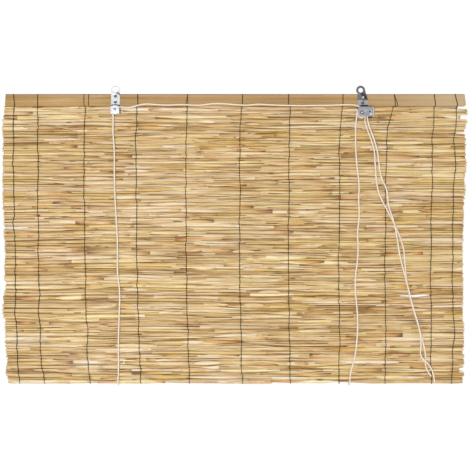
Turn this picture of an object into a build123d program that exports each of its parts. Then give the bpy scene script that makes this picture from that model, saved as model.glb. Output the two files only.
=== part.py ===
"""Bamboo roll up blind with two lift cords, a pulley bracket and a cord lock bracket.

Lengths are in millimetres. +X is to the right, -Y is the front and +Z is up.
The origin is midway between the centres of the two hanging eye holes.
"""

import os
from math import asin, atan2, cos, pi, radians, sin, sqrt, tan

from build123d import *

os.makedirs("parts", exist_ok=True)

# Head batten
batten_length = 900.0
batten_height = 23.4
batten_thickness = 6.8
batten_shift = -5.0
batten_edge_round = 1.2
batten_corner_round = 3.5
batten_end_slant = 3.0
eye_to_batten = 7.2

# Reed mat
mat_drop = 542.0
reed_height = 7.04
ragged_depth = 7.0
mat_narrowing = 7.0
gap_length = 68.0
gap_height = 3.6
reed_facets = 6
reed_variation_share = 0.26
reed_flat_share = 0.71
reed_overlap_share = 0.03
reed_size_step_share = 0.618
left_end_step_share = 0.7549
right_end_step_share = 0.5698
gap_across_share = 0.8895
gap_down_share = 0.684
# Reeds that stop well short of the right edge: place down the mat, then part of the ragged depth.
short_reed_shares = ((0.005, 2.4), (0.045, 1.3), (0.055, 1.6), (0.945, 2.5), (0.955, 1.9))

# Binding threads
thread_width = 1.2
thread_thickness = 1.0
thread_clearance = 0.05
thread_corner = 1.3
# Each thread's top and foot, along the batten left of, between and right of the brackets.
thread_left_shares = ((0.079, 0.133), (0.288, 0.338), (0.725, 0.752))
thread_middle_shares = ((0.083, 0.099), (0.288, 0.297), (0.508, 0.512), (0.704, 0.702), (0.92, 0.9))
thread_right_shares = ((0.292, 0.216), (0.693, 0.65), (0.8975, 0.862))

# Folded sheet brackets
eye_spacing = 478.0
eye_radius = 8.8
eye_hole_radius = 4.5
sheet = 1.2
bend_radius = 1.8
plate_corner = 2.0
side_clearance = 0.3
running_clearance = 0.05

# Pulley bracket on the left
left_strap_width = 17.0
left_axle_drop = 37.3
left_fold_drop = 47.0
left_arch_drop = 30.5
left_arch_rise = 2.0
left_screw_drop = 11.5
left_screw_pitch = 11.9
left_axle_radius = 1.5
left_cord_radius = 4.5
left_flange_radius = 5.9
left_sheave_width = 5.0
cord_hole_radius = 2.3

# Cord lock bracket on the right
lock_offset = 4.0
lock_strap_width = 19.8
lock_shoulder_drop = 18.6
lock_axle_offset = -3.0
lock_axle_drop = 45.0
lock_top_drop = 33.8
lock_height = 19.2
lock_left = 10.7
lock_right = 20.4
lock_screw_drop = 14.4
lock_screw_pitch = 10.6
lock_axle_radius = 2.0
lock_cord_radius = 9.5
lock_flange_radius = 10.3
lock_sheave_width = 4.6
roller_radius = 3.4
roller_pin_radius = 1.45
roller_slot_clearance = 0.1
roller_pin_proud = 0.7
roller_notch = 0.7
roller_notch_count = 16
roller_rest_right = 13.7
roller_rest_drop = 48.1
roller_locked_right = 11.9
roller_locked_drop = 43.0

# Rivet heads, screws and staples
left_rivet_head_radius = 2.7
lock_rivet_head_radius = 3.5
rivet_head_height = 1.3
screw_radius = 1.5
screw_length = 7.0
screw_head_radius = 2.8
screw_head_height = 1.7
screw_head_round = 0.7
screw_recess_length = 3.2
screw_recess_width = 0.7
screw_recess_depth = 0.8
screw_hole_clearance = 0.2
seat_clearance = 0.05
staple_wire_radius = 0.7
staple_inside_width = 3.8
staple_depth = 4.0
staple_drop = 10.3
staple_bend = 1.6

# Sheave groove
groove_clearance = 0.1
groove_lip = 0.5

# Cords and their knots behind the batten
cord_diameter = 3.0
knot_radius = 2.9
knot_length = 5.4
knot_waist = 2.3
knot_drop = 4.2
anchor_stand_off = 3.0
left_anchor_offset = -4.0
lock_anchor_offset = -11.0

# Derived places
half_eyes = eye_spacing / 2
batten_left = batten_shift - batten_length / 2
batten_right = batten_shift + batten_length / 2
batten_top = -eye_to_batten
batten_foot = batten_top - batten_height
batten_front = sheet / 2
batten_back = batten_front + batten_thickness
mat_y = batten_front + batten_thickness / 2
mat_foot = batten_foot - mat_drop
sheet_front = batten_front - sheet
left_x = -half_eyes
lock_x = half_eyes + lock_offset
lock_axle_x = lock_x + lock_axle_offset
left_gap = left_sheave_width + 2 * side_clearance
left_front_plate = sheet_front - left_gap
lock_gap = 2 * lock_sheave_width + 3 * side_clearance
lock_front_plate = sheet_front - lock_gap
left_sheave_y = sheet_front - left_gap / 2
rear_sheave_y = sheet_front - side_clearance - lock_sheave_width / 2
front_sheave_y = rear_sheave_y - side_clearance - lock_sheave_width
anchor_back = batten_back + anchor_stand_off
staple_z = batten_top - staple_drop
knot_z = batten_top - knot_drop
screw_places = (
    (left_x, -left_screw_drop),
    (left_x, -left_screw_drop - left_screw_pitch),
    (lock_x, -lock_screw_drop),
    (lock_x, -lock_screw_drop - lock_screw_pitch),
)
staple_places = (left_x + left_anchor_offset, lock_x + lock_anchor_offset)
thread_spans = (
    (batten_left, left_x, thread_left_shares),
    (left_x, lock_x, thread_middle_shares),
    (lock_x, batten_right, thread_right_shares),
)
thread_lines = [
    (start + top_share * (end - start), start + foot_share * (end - start))
    for start, end, shares in thread_spans
    for top_share, foot_share in shares
]

# Route of the left lift cord: its knot, down the back, up the front, over both pulleys, to the pull end.
left_cord_route = (
    (-243.0, 10.4, -7.6),
    (-243.0, 10.4, -21.5),
    (-242.6, 9.3, -46.0),
    (-243.6, 9.2, -84.0),
    (-242.4, 9.3, -138.0),
    (-243.8, 9.2, -196.0),
    (-242.4, 9.3, -254.0),
    (-243.4, 9.2, -312.0),
    (-241.6, 9.3, -370.0),
    (-241.0, 9.2, -426.0),
    (-238.0, 9.3, -476.0),
    (-236.6, 9.2, -514.0),
    (-234.9, 9.3, -542.0),
    (-234.3, 9.2, -560.0),
    (-234.4, 9.2, -574.6),
    (-234.4, -1.2, -574.6),
    (-234.2, -1.2, -561.0),
    (-234.0, -1.3, -538.0),
    (-234.6, -1.2, -491.0),
    (-232.6, -1.3, -440.0),
    (-231.1, -1.2, -394.0),
    (-234.8, -1.2, -354.0),
    (-235.8, -1.3, -308.0),
    (-236.9, -1.2, -264.0),
    (-240.0, -1.3, -218.0),
    (-241.2, -1.2, -167.0),
    (-241.8, -1.3, -116.0),
    (-244.0, -1.5, -81.0),
    (-243.4, -2.8, -56.0),
    (-243.6, -3.2, -42.6),
    (-243.5, -3.4, -35.4),
    (-240.9, -3.4, -32.8),
    (-234.0, -3.3, -32.7),
    (-221.5, -3.1, -31.4),
    (-203.0, -2.6, -29.6),
    (-181.0, -2.5, -26.2),
    (-138.0, -2.5, -25.9),
    (-86.0, -2.6, -25.2),
    (-43.0, -2.5, -24.6),
    (-4.0, -2.6, -27.1),
    (39.0, -2.5, -26.1),
    (74.0, -2.6, -28.9),
    (124.0, -2.5, -28.4),
    (175.0, -2.6, -28.9),
    (206.0, -2.8, -27.4),
    (228.0, -3.2, -28.9),
    (247.55, -3.2, -37.96),
    (249.95, -3.2, -44.57),
    (246.1, -3.2, -59.0),
    (250.0, -2.8, -73.0),
    (255.8, -2.5, -88.0),
    (265.2, -2.5, -113.0),
    (267.0, -2.4, -146.0),
    (269.0, -2.4, -176.0),
    (273.6, -2.4, -202.0),
    (288.0, -2.4, -229.0),
    (302.0, -2.4, -256.0),
    (312.0, -2.5, -278.0),
    (323.4, -2.4, -310.0),
    (324.6, -2.5, -338.0),
    (328.4, -2.4, -376.0),
    (338.0, -2.5, -417.0),
    (352.0, -2.4, -461.0),
    (361.2, -2.5, -495.0),
    (365.3, -2.4, -515.0),
    (364.3, -2.4, -532.0),
    (367.0, -2.4, -545.0),
    (375.8, -2.4, -557.0),
)

# Route of the right lift cord: its knot, down the back, up the front, over the lock, to the pull end.
right_cord_route = (
    (232.0, 10.4, -7.6),
    (232.0, 10.4, -21.5),
    (232.4, 9.3, -46.0),
    (231.0, 9.2, -84.0),
    (232.2, 9.3, -138.0),
    (231.2, 9.2, -196.0),
    (233.0, 9.3, -254.0),
    (231.4, 9.2, -312.0),
    (232.0, 9.3, -370.0),
    (229.6, 9.2, -426.0),
    (226.4, 9.3, -476.0),
    (222.0, 9.2, -514.0),
    (218.6, 9.3, -542.0),
    (217.4, 9.2, -560.0),
    (217.2, 9.2, -574.6),
    (217.2, -1.2, -574.6),
    (217.8, -1.2, -560.0),
    (221.0, -1.3, -542.0),
    (226.8, -1.2, -525.0),
    (230.4, -1.2, -500.0),
    (233.0, -1.3, -470.0),
    (233.2, -1.2, -442.0),
    (230.6, -1.3, -414.0),
    (228.0, -1.2, -388.0),
    (228.4, -1.3, -361.0),
    (232.6, -1.2, -334.0),
    (234.2, -1.3, -304.0),
    (232.0, -1.2, -277.0),
    (236.8, -1.3, -244.0),
    (234.4, -1.2, -211.0),
    (236.6, -1.3, -184.0),
    (231.6, -1.2, -152.0),
    (229.2, -1.4, -118.0),
    (228.4, -2.4, -86.0),
    (228.7, -5.8, -66.0),
    (229.9, -7.8, -54.0),
    (230.5, -8.1, -41.065),
    (236.065, -8.1, -35.5),
    (243.935, -8.1, -35.5),
    (249.5, -8.1, -41.065),
    (250.2, -8.0, -52.5),
    (252.2, -7.5, -64.0),
    (256.4, -7.0, -77.0),
    (261.8, -6.4, -90.0),
    (271.0, -5.6, -118.0),
    (274.0, -4.6, -147.0),
    (278.0, -4.6, -171.0),
    (290.0, -5.4, -194.0),
    (291.0, -5.9, -224.0),
    (303.0, -5.9, -256.0),
    (309.0, -5.2, -288.0),
    (315.0, -4.8, -328.0),
    (327.4, -5.9, -372.0),
    (337.6, -5.9, -416.0),
    (352.2, -5.9, -462.0),
    (355.4, -5.8, -488.0),
    (355.0, -5.7, -503.0),
    (353.4, -5.7, -514.0),
    (360.6, -5.9, -525.0),
    (370.4, -5.7, -533.0),
    (378.4, -4.2, -547.0),
    (381.6, -2.8, -562.0),
    (383.2, -2.4, -572.0),
)


def corner_radii(route):
    """Give the arc radius at each corner of a cord's route."""
    radii = []
    for before, here, after in zip(route, route[1:], route[2:]):
        back = Vector(*here) - Vector(*before)
        ahead = Vector(*after) - Vector(*here)
        half_turn = radians(back.get_angle(ahead) / 2)
        radii.append(0.45 * min(back.length, ahead.length) / tan(half_turn))
    return radii


def reed_stack():
    """Give the centre height and radius of each reed, from the top of the mat down."""
    count = max(2, round(mat_drop / reed_height))
    sizes = [1 + reed_variation_share * (2 * (i * reed_size_step_share % 1) - 1) for i in range(count)]
    scale = mat_drop / sum(sizes)
    stack = []
    top = batten_foot
    for size in sizes:
        diameter = size * scale
        stack.append((top - diameter / 2, diameter / 2 * (1 + reed_overlap_share)))
        top -= diameter
    # The outer reeds keep to the mat's own height.
    for end, edge in ((0, batten_foot), (count - 1, mat_foot)):
        stack[end] = (stack[end][0], abs(stack[end][0] - edge))
    return stack


def waists(stack):
    """Give the half thickness and height of the hollow line between each reed and the next."""
    lines = []
    for (upper, upper_r), (lower, lower_r) in zip(stack, stack[1:]):
        apart = upper - lower
        down = (apart**2 + upper_r**2 - lower_r**2) / (2 * apart)
        lines.append((sqrt(upper_r**2 - down**2), upper - down))
    return lines


def mat_face(stack, lines, side):
    """Give the outline of the mat's front or back, a few flat facets to each reed."""
    top, foot = stack[0], stack[-1]
    corners = [(0, top[0] + top[1])] + lines + [(0, foot[0] - foot[1])]
    points = []
    for (z, r), upper, lower in zip(stack, corners, corners[1:]):
        start = atan2(upper[1] - z, upper[0])
        turn = atan2(lower[1] - z, lower[0]) - start
        for facet in range(reed_facets):
            angle = start + turn * facet / reed_facets
            points.append((mat_y + side * reed_flat_share * r * cos(angle), z + r * sin(angle)))
    points.append((mat_y, corners[-1][1]))
    return points


# Head batten: a flat lath with eased edges and slightly slanted ends
with BuildPart() as head_batten:
    with BuildSketch(Plane.YZ.offset(batten_left)):
        with Locations((mat_y, batten_foot + batten_height / 2)):
            RectangleRounded(batten_thickness, batten_height, batten_edge_round)
    extrude(amount=batten_length)
    with BuildSketch(Plane.XZ.offset(-batten_back)) as batten_outline:
        with BuildLine():
            Polyline(
                (batten_left + batten_end_slant / 2, batten_top),
                (batten_right - batten_end_slant, batten_top),
                (batten_right, batten_foot),
                (batten_left, batten_foot),
                close=True,
            )
        make_face()
        fillet(batten_outline.vertices().group_by(Axis.Y)[0], batten_corner_round)
    extrude(amount=batten_thickness, mode=Mode.INTERSECT)
    for x, z in screw_places:
        with BuildSketch(Plane.XZ.offset(-batten_front)):
            with Locations((x, z)):
                Circle(screw_radius + seat_clearance)
        extrude(amount=sheet - screw_length, mode=Mode.SUBTRACT)
    for x in staple_places:
        with BuildSketch(Plane.XZ.offset(-batten_back)):
            with Locations((x, staple_z)):
                with GridLocations(staple_inside_width + 2 * staple_wire_radius, 0, 2, 1):
                    Circle(staple_wire_radius + seat_clearance)
        extrude(amount=staple_depth, mode=Mode.SUBTRACT)
head_batten.part.label = "head_batten"
export_step(head_batten.part, "parts/head_batten.step")

# Reed mat: parallel reeds side by side with ragged ends and one open gap
reeds = reed_stack()
hollows = waists(reeds)
with BuildPart() as reed_mat:
    with BuildSketch(Plane.YZ.offset(batten_left)):
        with BuildLine():
            for side in (-1, 1):
                Polyline(*mat_face(reeds, hollows, side))
        make_face()
    extrude(amount=batten_length)
    edges_down = [batten_foot] + [z for _, z in hollows] + [mat_foot]
    left_steps, right_steps = [], []
    for i, (upper, lower) in enumerate(zip(edges_down, edges_down[1:])):
        down = (batten_foot - (upper + lower) / 2) / mat_drop
        set_in = mat_narrowing * down**3
        left = batten_left + set_in + ragged_depth * (i * left_end_step_share % 1)
        short = sum(extra for place, extra in short_reed_shares if int(place * len(reeds)) == i)
        right = batten_right - set_in - ragged_depth * (i * right_end_step_share % 1 + short)
        left_steps += [(left, upper), (left, lower)]
        right_steps += [(right, upper), (right, lower)]
    with BuildSketch(Plane.XZ.offset(-2 * batten_thickness)):
        with BuildLine():
            Polyline(*left_steps, *reversed(right_steps), close=True)
        make_face()
    extrude(amount=3 * batten_thickness, mode=Mode.INTERSECT)
    gap_x = batten_left + gap_across_share * batten_length
    gap_z = hollows[int(gap_down_share * len(hollows))][1]
    with BuildSketch(Plane.XZ.offset(-2 * batten_thickness)):
        with BuildLine():
            for side in (-1, 1):
                ThreePointArc(
                    (gap_x - gap_length / 2, gap_z),
                    (gap_x, gap_z + side * gap_height / 2),
                    (gap_x + gap_length / 2, gap_z),
                )
        make_face()
    extrude(amount=3 * batten_thickness, mode=Mode.SUBTRACT)
reed_mat.part.label = "reed_mat"
export_step(reed_mat.part, "parts/reed_mat.step")

# Binding threads: each goes round the batten and the mat in one loop
loop_top = batten_top + thread_clearance
loop_foot = mat_foot - thread_clearance
loop_half = batten_thickness / 2 + thread_clearance
for number, (top_x, foot_x) in enumerate(thread_lines, 1):
    middle = ((top_x + foot_x) / 2, mat_y, (loop_top + loop_foot) / 2)
    lean = Vector(top_x - foot_x, 0, loop_top - loop_foot)
    with BuildPart() as binding_thread:
        with BuildSketch(Plane(origin=middle, x_dir=(0, 1, 0), z_dir=Vector(0, 1, 0).cross(lean))):
            RectangleRounded(
                2 * (loop_half + thread_thickness), lean.length + 2 * thread_thickness, thread_corner
            )
            Rectangle(2 * loop_half, lean.length, mode=Mode.SUBTRACT)
        extrude(amount=thread_width / 2, both=True)
    name = f"binding_thread_{number:02d}"
    binding_thread.part.label = name
    export_step(binding_thread.part, f"parts/{name}.step")

# Pulley bracket: eye, strap, fold under the pulley and an arched front plate
with BuildPart() as left_bracket:
    with BuildSketch(Plane.YZ.offset(left_x)):
        with BuildLine():
            FilletPolyline(
                (batten_front - sheet / 2, -eye_radius),
                (batten_front - sheet / 2, sheet / 2 - left_fold_drop),
                (left_front_plate - sheet / 2, sheet / 2 - left_fold_drop),
                (left_front_plate - sheet / 2, -left_axle_drop),
                radius=bend_radius,
            )
        trace(line_width=sheet)
    extrude(amount=left_strap_width / 2, both=True)
    with BuildSketch(Plane.XZ.offset(-batten_front)):
        with Locations((left_x, 0)):
            Circle(eye_radius)
        with Locations((left_x, -eye_radius)):
            RectangleRounded(left_strap_width, eye_radius, plate_corner)
    extrude(amount=sheet)
    with BuildSketch(Plane.XZ.offset(-left_front_plate)):
        with BuildLine():
            shoulder = -left_arch_drop - left_arch_rise
            ThreePointArc(
                (left_x - left_strap_width / 2, shoulder),
                (left_x, -left_arch_drop),
                (left_x + left_strap_width / 2, shoulder),
            )
            Polyline(
                (left_x + left_strap_width / 2, shoulder),
                (left_x + left_strap_width / 2, -left_axle_drop),
                (left_x - left_strap_width / 2, -left_axle_drop),
                (left_x - left_strap_width / 2, shoulder),
            )
        make_face()
    extrude(amount=sheet)
    with BuildSketch(Plane.XZ.offset(-batten_front)):
        with Locations((left_x, 0)):
            Circle(eye_hole_radius)
        with Locations(*screw_places[:2]):
            Circle(screw_radius + screw_hole_clearance)
    extrude(amount=sheet, mode=Mode.SUBTRACT)
    with BuildSketch(Plane.XZ.offset(-batten_front)):
        with Locations((left_x, -left_axle_drop)):
            Circle(left_axle_radius)
    extrude(amount=left_gap + 2 * sheet, mode=Mode.SUBTRACT)
    with BuildSketch(Plane.XY.offset(-left_fold_drop)):
        with Locations((left_x - left_cord_radius, left_sheave_y)):
            Circle(cord_hole_radius)
    extrude(amount=sheet, mode=Mode.SUBTRACT)
left_bracket.part.label = "left_bracket"
export_step(left_bracket.part, "parts/left_bracket.step")

# Cord lock bracket: eye, sloping shoulder, strap and a housing folded round its right side
with BuildPart() as lock_bracket:
    with BuildSketch(Plane.XY.offset(-lock_top_drop - lock_height)):
        with BuildLine():
            FilletPolyline(
                (lock_x - lock_left, batten_front - sheet / 2),
                (lock_x + lock_right - sheet / 2, batten_front - sheet / 2),
                (lock_x + lock_right - sheet / 2, lock_front_plate - sheet / 2),
                (lock_x - lock_left, lock_front_plate - sheet / 2),
                radius=bend_radius,
            )
        trace(line_width=sheet)
    extrude(amount=lock_height)
    fillet(lock_bracket.edges().filter_by(Axis.Y).group_by(Axis.X)[0], plate_corner)
    with BuildSketch(Plane.XZ.offset(-batten_front)):
        with BuildLine():
            Polyline(
                (lock_x - lock_strap_width / 2, -lock_axle_drop),
                (lock_x + lock_strap_width / 2, -lock_axle_drop),
                (lock_x + lock_strap_width / 2, -lock_shoulder_drop),
                (half_eyes + eye_radius, 0),
                (half_eyes, 0),
                (lock_x - lock_strap_width / 2, -eye_radius / 2),
                close=True,
            )
        make_face()
        with Locations((half_eyes, 0)):
            Circle(eye_radius)
            Circle(eye_hole_radius, mode=Mode.SUBTRACT)
        with Locations(*screw_places[2:]):
            Circle(screw_radius + screw_hole_clearance, mode=Mode.SUBTRACT)
    extrude(amount=sheet)
    with BuildSketch(Plane.XZ.offset(-batten_front)):
        with Locations((lock_axle_x, -lock_axle_drop)):
            Circle(lock_axle_radius)
        with BuildLine():
            slot_line = Line(
                (lock_x + roller_locked_right, -roller_locked_drop),
                (lock_x + roller_rest_right, -roller_rest_drop),
            )
        with Locations(slot_line @ 0.5):
            SlotCenterToCenter(
                slot_line.length,
                2 * (roller_pin_radius + roller_slot_clearance),
                rotation=slot_line.tangent_angle_at(0),
            )
    extrude(amount=lock_gap + 2 * sheet, mode=Mode.SUBTRACT)
lock_bracket.part.label = "lock_bracket"
export_step(lock_bracket.part, "parts/lock_bracket.step")


def sheave(x, y, z, width, bore, cord_radius, flange):
    """Make a grooved pulley that turns about a line from front to back."""
    round_r = cord_diameter / 2 + groove_clearance
    with BuildPart() as wheel:
        with BuildSketch(Plane.XY.offset(z)):
            with BuildLine():
                Polyline(
                    (x + cord_radius, y + round_r),
                    (x + flange, y + width / 2 - groove_lip),
                    (x + flange, y + width / 2),
                    (x + bore, y + width / 2),
                    (x + bore, y - width / 2),
                    (x + flange, y - width / 2),
                    (x + flange, y - width / 2 + groove_lip),
                    (x + cord_radius, y - round_r),
                )
                ThreePointArc(
                    (x + cord_radius, y - round_r),
                    (x + cord_radius - round_r, y),
                    (x + cord_radius, y + round_r),
                )
            make_face()
        revolve(axis=Axis((x, y, z), (0, 1, 0)))
    return wheel


# Pulleys
left_sheave = sheave(
    left_x, left_sheave_y, -left_axle_drop, left_sheave_width,
    left_axle_radius + running_clearance, left_cord_radius, left_flange_radius,
)
left_sheave.part.label = "left_sheave"
export_step(left_sheave.part, "parts/left_sheave.step")

lock_sheave_rear = sheave(
    lock_axle_x, rear_sheave_y, -lock_axle_drop, lock_sheave_width,
    lock_axle_radius + running_clearance, lock_cord_radius, lock_flange_radius,
)
lock_sheave_rear.part.label = "lock_sheave_rear"
export_step(lock_sheave_rear.part, "parts/lock_sheave_rear.step")

lock_sheave_front = sheave(
    lock_axle_x, front_sheave_y, -lock_axle_drop, lock_sheave_width,
    lock_axle_radius + running_clearance, lock_cord_radius, lock_flange_radius,
)
lock_sheave_front.part.label = "lock_sheave_front"
export_step(lock_sheave_front.part, "parts/lock_sheave_front.step")


def rivet(x, z, radius, head_radius, face):
    """Make a rivet with a domed head in front of a plate and a flush end at the batten's face."""
    dome = (head_radius**2 + rivet_head_height**2) / (2 * rivet_head_height)
    half_angle = asin(head_radius / dome) / 2
    with BuildPart() as pin:
        with BuildSketch(Plane.XY.offset(z)):
            with BuildLine():
                ThreePointArc(
                    (x + head_radius, face),
                    (x + dome * sin(half_angle), face - rivet_head_height + dome * (1 - cos(half_angle))),
                    (x, face - rivet_head_height),
                )
                Polyline(
                    (x, face - rivet_head_height),
                    (x, batten_front),
                    (x + radius, batten_front),
                    (x + radius, face),
                    (x + head_radius, face),
                )
            make_face()
        revolve(axis=Axis((x, face, z), (0, 1, 0)))
    return pin


# Rivets that the pulleys turn on
left_axle = rivet(left_x, -left_axle_drop, left_axle_radius, left_rivet_head_radius, left_front_plate - sheet)
left_axle.part.label = "left_axle"
export_step(left_axle.part, "parts/left_axle.step")

lock_axle = rivet(
    lock_axle_x, -lock_axle_drop, lock_axle_radius, lock_rivet_head_radius, lock_front_plate - sheet,
)
lock_axle.part.label = "lock_axle"
export_step(lock_axle.part, "parts/lock_axle.step")

# Lock roller: a notched roller whose pin ends slide in the slots
with BuildPart() as lock_roller:
    roller_place = (lock_x + roller_rest_right, -roller_rest_drop)
    with BuildSketch(Plane.XZ.offset(side_clearance - sheet_front)):
        with Locations(roller_place):
            Circle(roller_radius)
            with PolarLocations(roller_radius, roller_notch_count):
                Rectangle(roller_notch, roller_notch, rotation=45, mode=Mode.SUBTRACT)
    extrude(amount=lock_gap - 2 * side_clearance)
    with BuildSketch(Plane.XZ.offset(running_clearance - batten_front)):
        with Locations(roller_place):
            Circle(roller_pin_radius)
    extrude(amount=lock_gap + 2 * sheet + roller_pin_proud)
lock_roller.part.label = "lock_roller"
export_step(lock_roller.part, "parts/lock_roller.step")

# Four screws through the straps into the batten
with BuildPart() as bracket_screws:
    with BuildSketch(Plane.XZ.offset(-sheet_front)):
        with Locations(*screw_places):
            Circle(screw_head_radius)
    extrude(amount=screw_head_height)
    fillet(bracket_screws.edges().filter_by(GeomType.CIRCLE).group_by(Axis.Y)[0], screw_head_round)
    with BuildSketch(Plane.XZ.offset(screw_head_height - screw_recess_depth - sheet_front)):
        with Locations(*screw_places):
            Rectangle(screw_recess_length, screw_recess_width)
            Rectangle(screw_recess_width, screw_recess_length)
    extrude(amount=screw_recess_depth, mode=Mode.SUBTRACT)
    with BuildSketch(Plane.XZ.offset(-sheet_front)):
        with Locations(*screw_places):
            Circle(screw_radius)
    extrude(amount=-screw_length)
bracket_screws.part.label = "bracket_screws"
export_step(bracket_screws.part, "parts/bracket_screws.step")

# Two wire staples that hold the cords to the back of the batten
with BuildPart() as cord_staples:
    crown_y = anchor_back + cord_diameter / 2 + staple_wire_radius + seat_clearance
    leg_y = batten_back - staple_depth + seat_clearance
    leg = staple_inside_width / 2 + staple_wire_radius
    for x in staple_places:
        with BuildLine() as staple_line:
            FilletPolyline(
                (x - leg, leg_y, staple_z),
                (x - leg, crown_y, staple_z),
                (x + leg, crown_y, staple_z),
                (x + leg, leg_y, staple_z),
                radius=staple_bend,
            )
        with BuildSketch(Plane(origin=staple_line.line @ 0, z_dir=staple_line.line % 0)):
            Circle(staple_wire_radius)
        sweep()
cord_staples.part.label = "cord_staples"
export_step(cord_staples.part, "parts/cord_staples.step")

# Knots that stop the cords above the staples
knot_hole = cord_diameter / 2 + seat_clearance
for name, x in zip(("left_knot", "right_knot"), staple_places):
    with BuildPart() as knot:
        with BuildSketch(Plane.YZ.offset(x)):
            with BuildLine():
                Polyline(
                    (anchor_back + knot_waist, knot_z - knot_length / 2),
                    (anchor_back + knot_hole, knot_z - knot_length / 2),
                    (anchor_back + knot_hole, knot_z + knot_length / 2),
                    (anchor_back + knot_waist, knot_z + knot_length / 2),
                )
                for low, high in ((-knot_length / 2, 0), (0, knot_length / 2)):
                    ThreePointArc(
                        (anchor_back + knot_waist, knot_z + low),
                        (anchor_back + knot_radius, knot_z + (low + high) / 2),
                        (anchor_back + knot_waist, knot_z + high),
                    )
            make_face()
        revolve(axis=Axis((x, anchor_back, knot_z), (0, 0, 1)))
    knot.part.label = name
    export_step(knot.part, f"parts/{name}.step")


def cord(route):
    """Make a round cord along a route of straight runs joined by arcs."""
    radii = corner_radii(route)
    with BuildPart() as tube:
        with BuildLine() as line:
            FilletPolyline(*route, radius=radii)
        with BuildSketch(Plane(origin=line.line @ 0, z_dir=line.line % 0)):
            Circle(cord_diameter / 2)
        sweep()
    length = sum(edge.length for edge in line.edges())
    section = pi * cord_diameter**2 / 4
    print("corner radii", [round(r, 1) for r in radii])
    print("cord length", round(length, 1), "volume over section", round(tube.part.volume / section, 1))
    return tube


# Lift cords
left_cord = cord(left_cord_route)
left_cord.part.label = "left_cord"
export_step(left_cord.part, "parts/left_cord.step")

right_cord = cord(right_cord_route)
right_cord.part.label = "right_cord"
export_step(right_cord.part, "parts/right_cord.step")
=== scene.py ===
"""Dress a bamboo roll up blind: a reed mat bound with twine under a lath, with its brackets and lift cords.

Lengths are in metres. +X is to the right, -Y is the front and +Z is up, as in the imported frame.
"""

import logging
import math
import random
from dataclasses import dataclass, field
from enum import Enum
from typing import Iterable, Optional, Sequence, Union

import bpy
import numpy as np
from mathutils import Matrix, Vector


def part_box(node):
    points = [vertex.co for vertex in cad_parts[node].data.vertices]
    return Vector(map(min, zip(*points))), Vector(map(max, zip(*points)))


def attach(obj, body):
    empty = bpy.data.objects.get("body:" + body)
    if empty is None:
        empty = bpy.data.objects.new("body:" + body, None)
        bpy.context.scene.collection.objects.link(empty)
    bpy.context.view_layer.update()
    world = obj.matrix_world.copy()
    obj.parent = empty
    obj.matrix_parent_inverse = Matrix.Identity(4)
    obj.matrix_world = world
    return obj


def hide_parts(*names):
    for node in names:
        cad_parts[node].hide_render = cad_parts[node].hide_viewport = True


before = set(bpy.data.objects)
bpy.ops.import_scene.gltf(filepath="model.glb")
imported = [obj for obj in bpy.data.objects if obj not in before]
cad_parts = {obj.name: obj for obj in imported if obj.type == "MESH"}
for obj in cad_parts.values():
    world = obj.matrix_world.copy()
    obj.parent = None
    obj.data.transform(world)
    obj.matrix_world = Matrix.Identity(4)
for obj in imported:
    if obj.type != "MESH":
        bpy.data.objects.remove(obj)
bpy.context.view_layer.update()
LOG = logging.getLogger("roll_up_blind")

Object = bpy.types.Object
Material = bpy.types.Material
Tree = bpy.types.NodeTree
Node = bpy.types.Node
Socket = bpy.types.NodeSocket
Point = tuple[float, float, float]
Colour = tuple[float, float, float]
Span = tuple[float, float]
Stops = tuple[tuple[float, Colour], ...]
Feed = Union[float, Sequence[float], Socket]

UNIT: Span = (0.0, 1.0)
NOISE: Span = (0.3, 0.7)
ROUND_DEGREES = 60.0
WELD_DISTANCE = 0.000005
FLAT_DEGREES = 0.5
BEVEL_DEGREES = 40.0


class Facing(Enum):
    """Which face of the mat a sheath or stalk lies on."""

    FRONT = -1.0
    BACK = 1.0


def clear_selection() -> None:
    """Deselect every object."""
    bpy.ops.object.select_all(action="DESELECT")


def activate(obj: Object) -> None:
    """Make one object the only selected one and the active one."""
    clear_selection()
    obj.select_set(True)
    bpy.context.view_layer.objects.active = obj


def settle(obj: Object) -> None:
    """Move an object's place, turn and scale into its mesh."""
    activate(obj)
    bpy.ops.object.transform_apply(location=True, rotation=True, scale=True)


def soften(obj: Object, degrees: float = 35.0) -> None:
    """Shade an object smoothly, apart from edges that turn by more than some degrees."""
    activate(obj)
    bpy.ops.object.shade_smooth_by_angle(angle=math.radians(degrees))


def merged_copy(node: str, name: str, edge: float) -> Object:
    """Copy a CAD node as a welded mesh with rounded edges.

    Args:
        node: Name of the CAD node.
        name: Name of the new piece.
        edge: Width of the edge rounding, or zero for none.

    Returns:
        The new piece.
    """
    copy = bpy.data.objects.new(name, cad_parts[node].data.copy())
    bpy.context.collection.objects.link(copy)
    copy.data.materials.clear()
    activate(copy)
    bpy.ops.object.mode_set(mode="EDIT")
    bpy.ops.mesh.select_all(action="SELECT")
    bpy.ops.mesh.remove_doubles(threshold=WELD_DISTANCE)
    bpy.ops.mesh.dissolve_limited(angle_limit=math.radians(FLAT_DEGREES))
    bpy.ops.object.mode_set(mode="OBJECT")
    if edge > 0.0:
        bevel = copy.modifiers.new("edge_rounding", "BEVEL")
        bevel.width = edge
        bevel.segments = 2
        bevel.limit_method = "ANGLE"
        bevel.angle_limit = math.radians(BEVEL_DEGREES)
        bevel.use_clamp_overlap = True
        bpy.ops.object.modifier_apply(modifier=bevel.name)
    soften(copy)
    return copy


def join_pieces(pieces: Sequence[Object], name: str) -> Object:
    """Join several meshes into one object.

    Args:
        pieces: The objects to join.
        name: Name of the joined object.

    Returns:
        The joined object.
    """
    clear_selection()
    for piece in pieces:
        piece.select_set(True)
    bpy.context.view_layer.objects.active = pieces[0]
    bpy.ops.object.join()
    joined = bpy.context.view_layer.objects.active
    joined.name = name
    joined.data.name = name
    return joined


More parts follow.
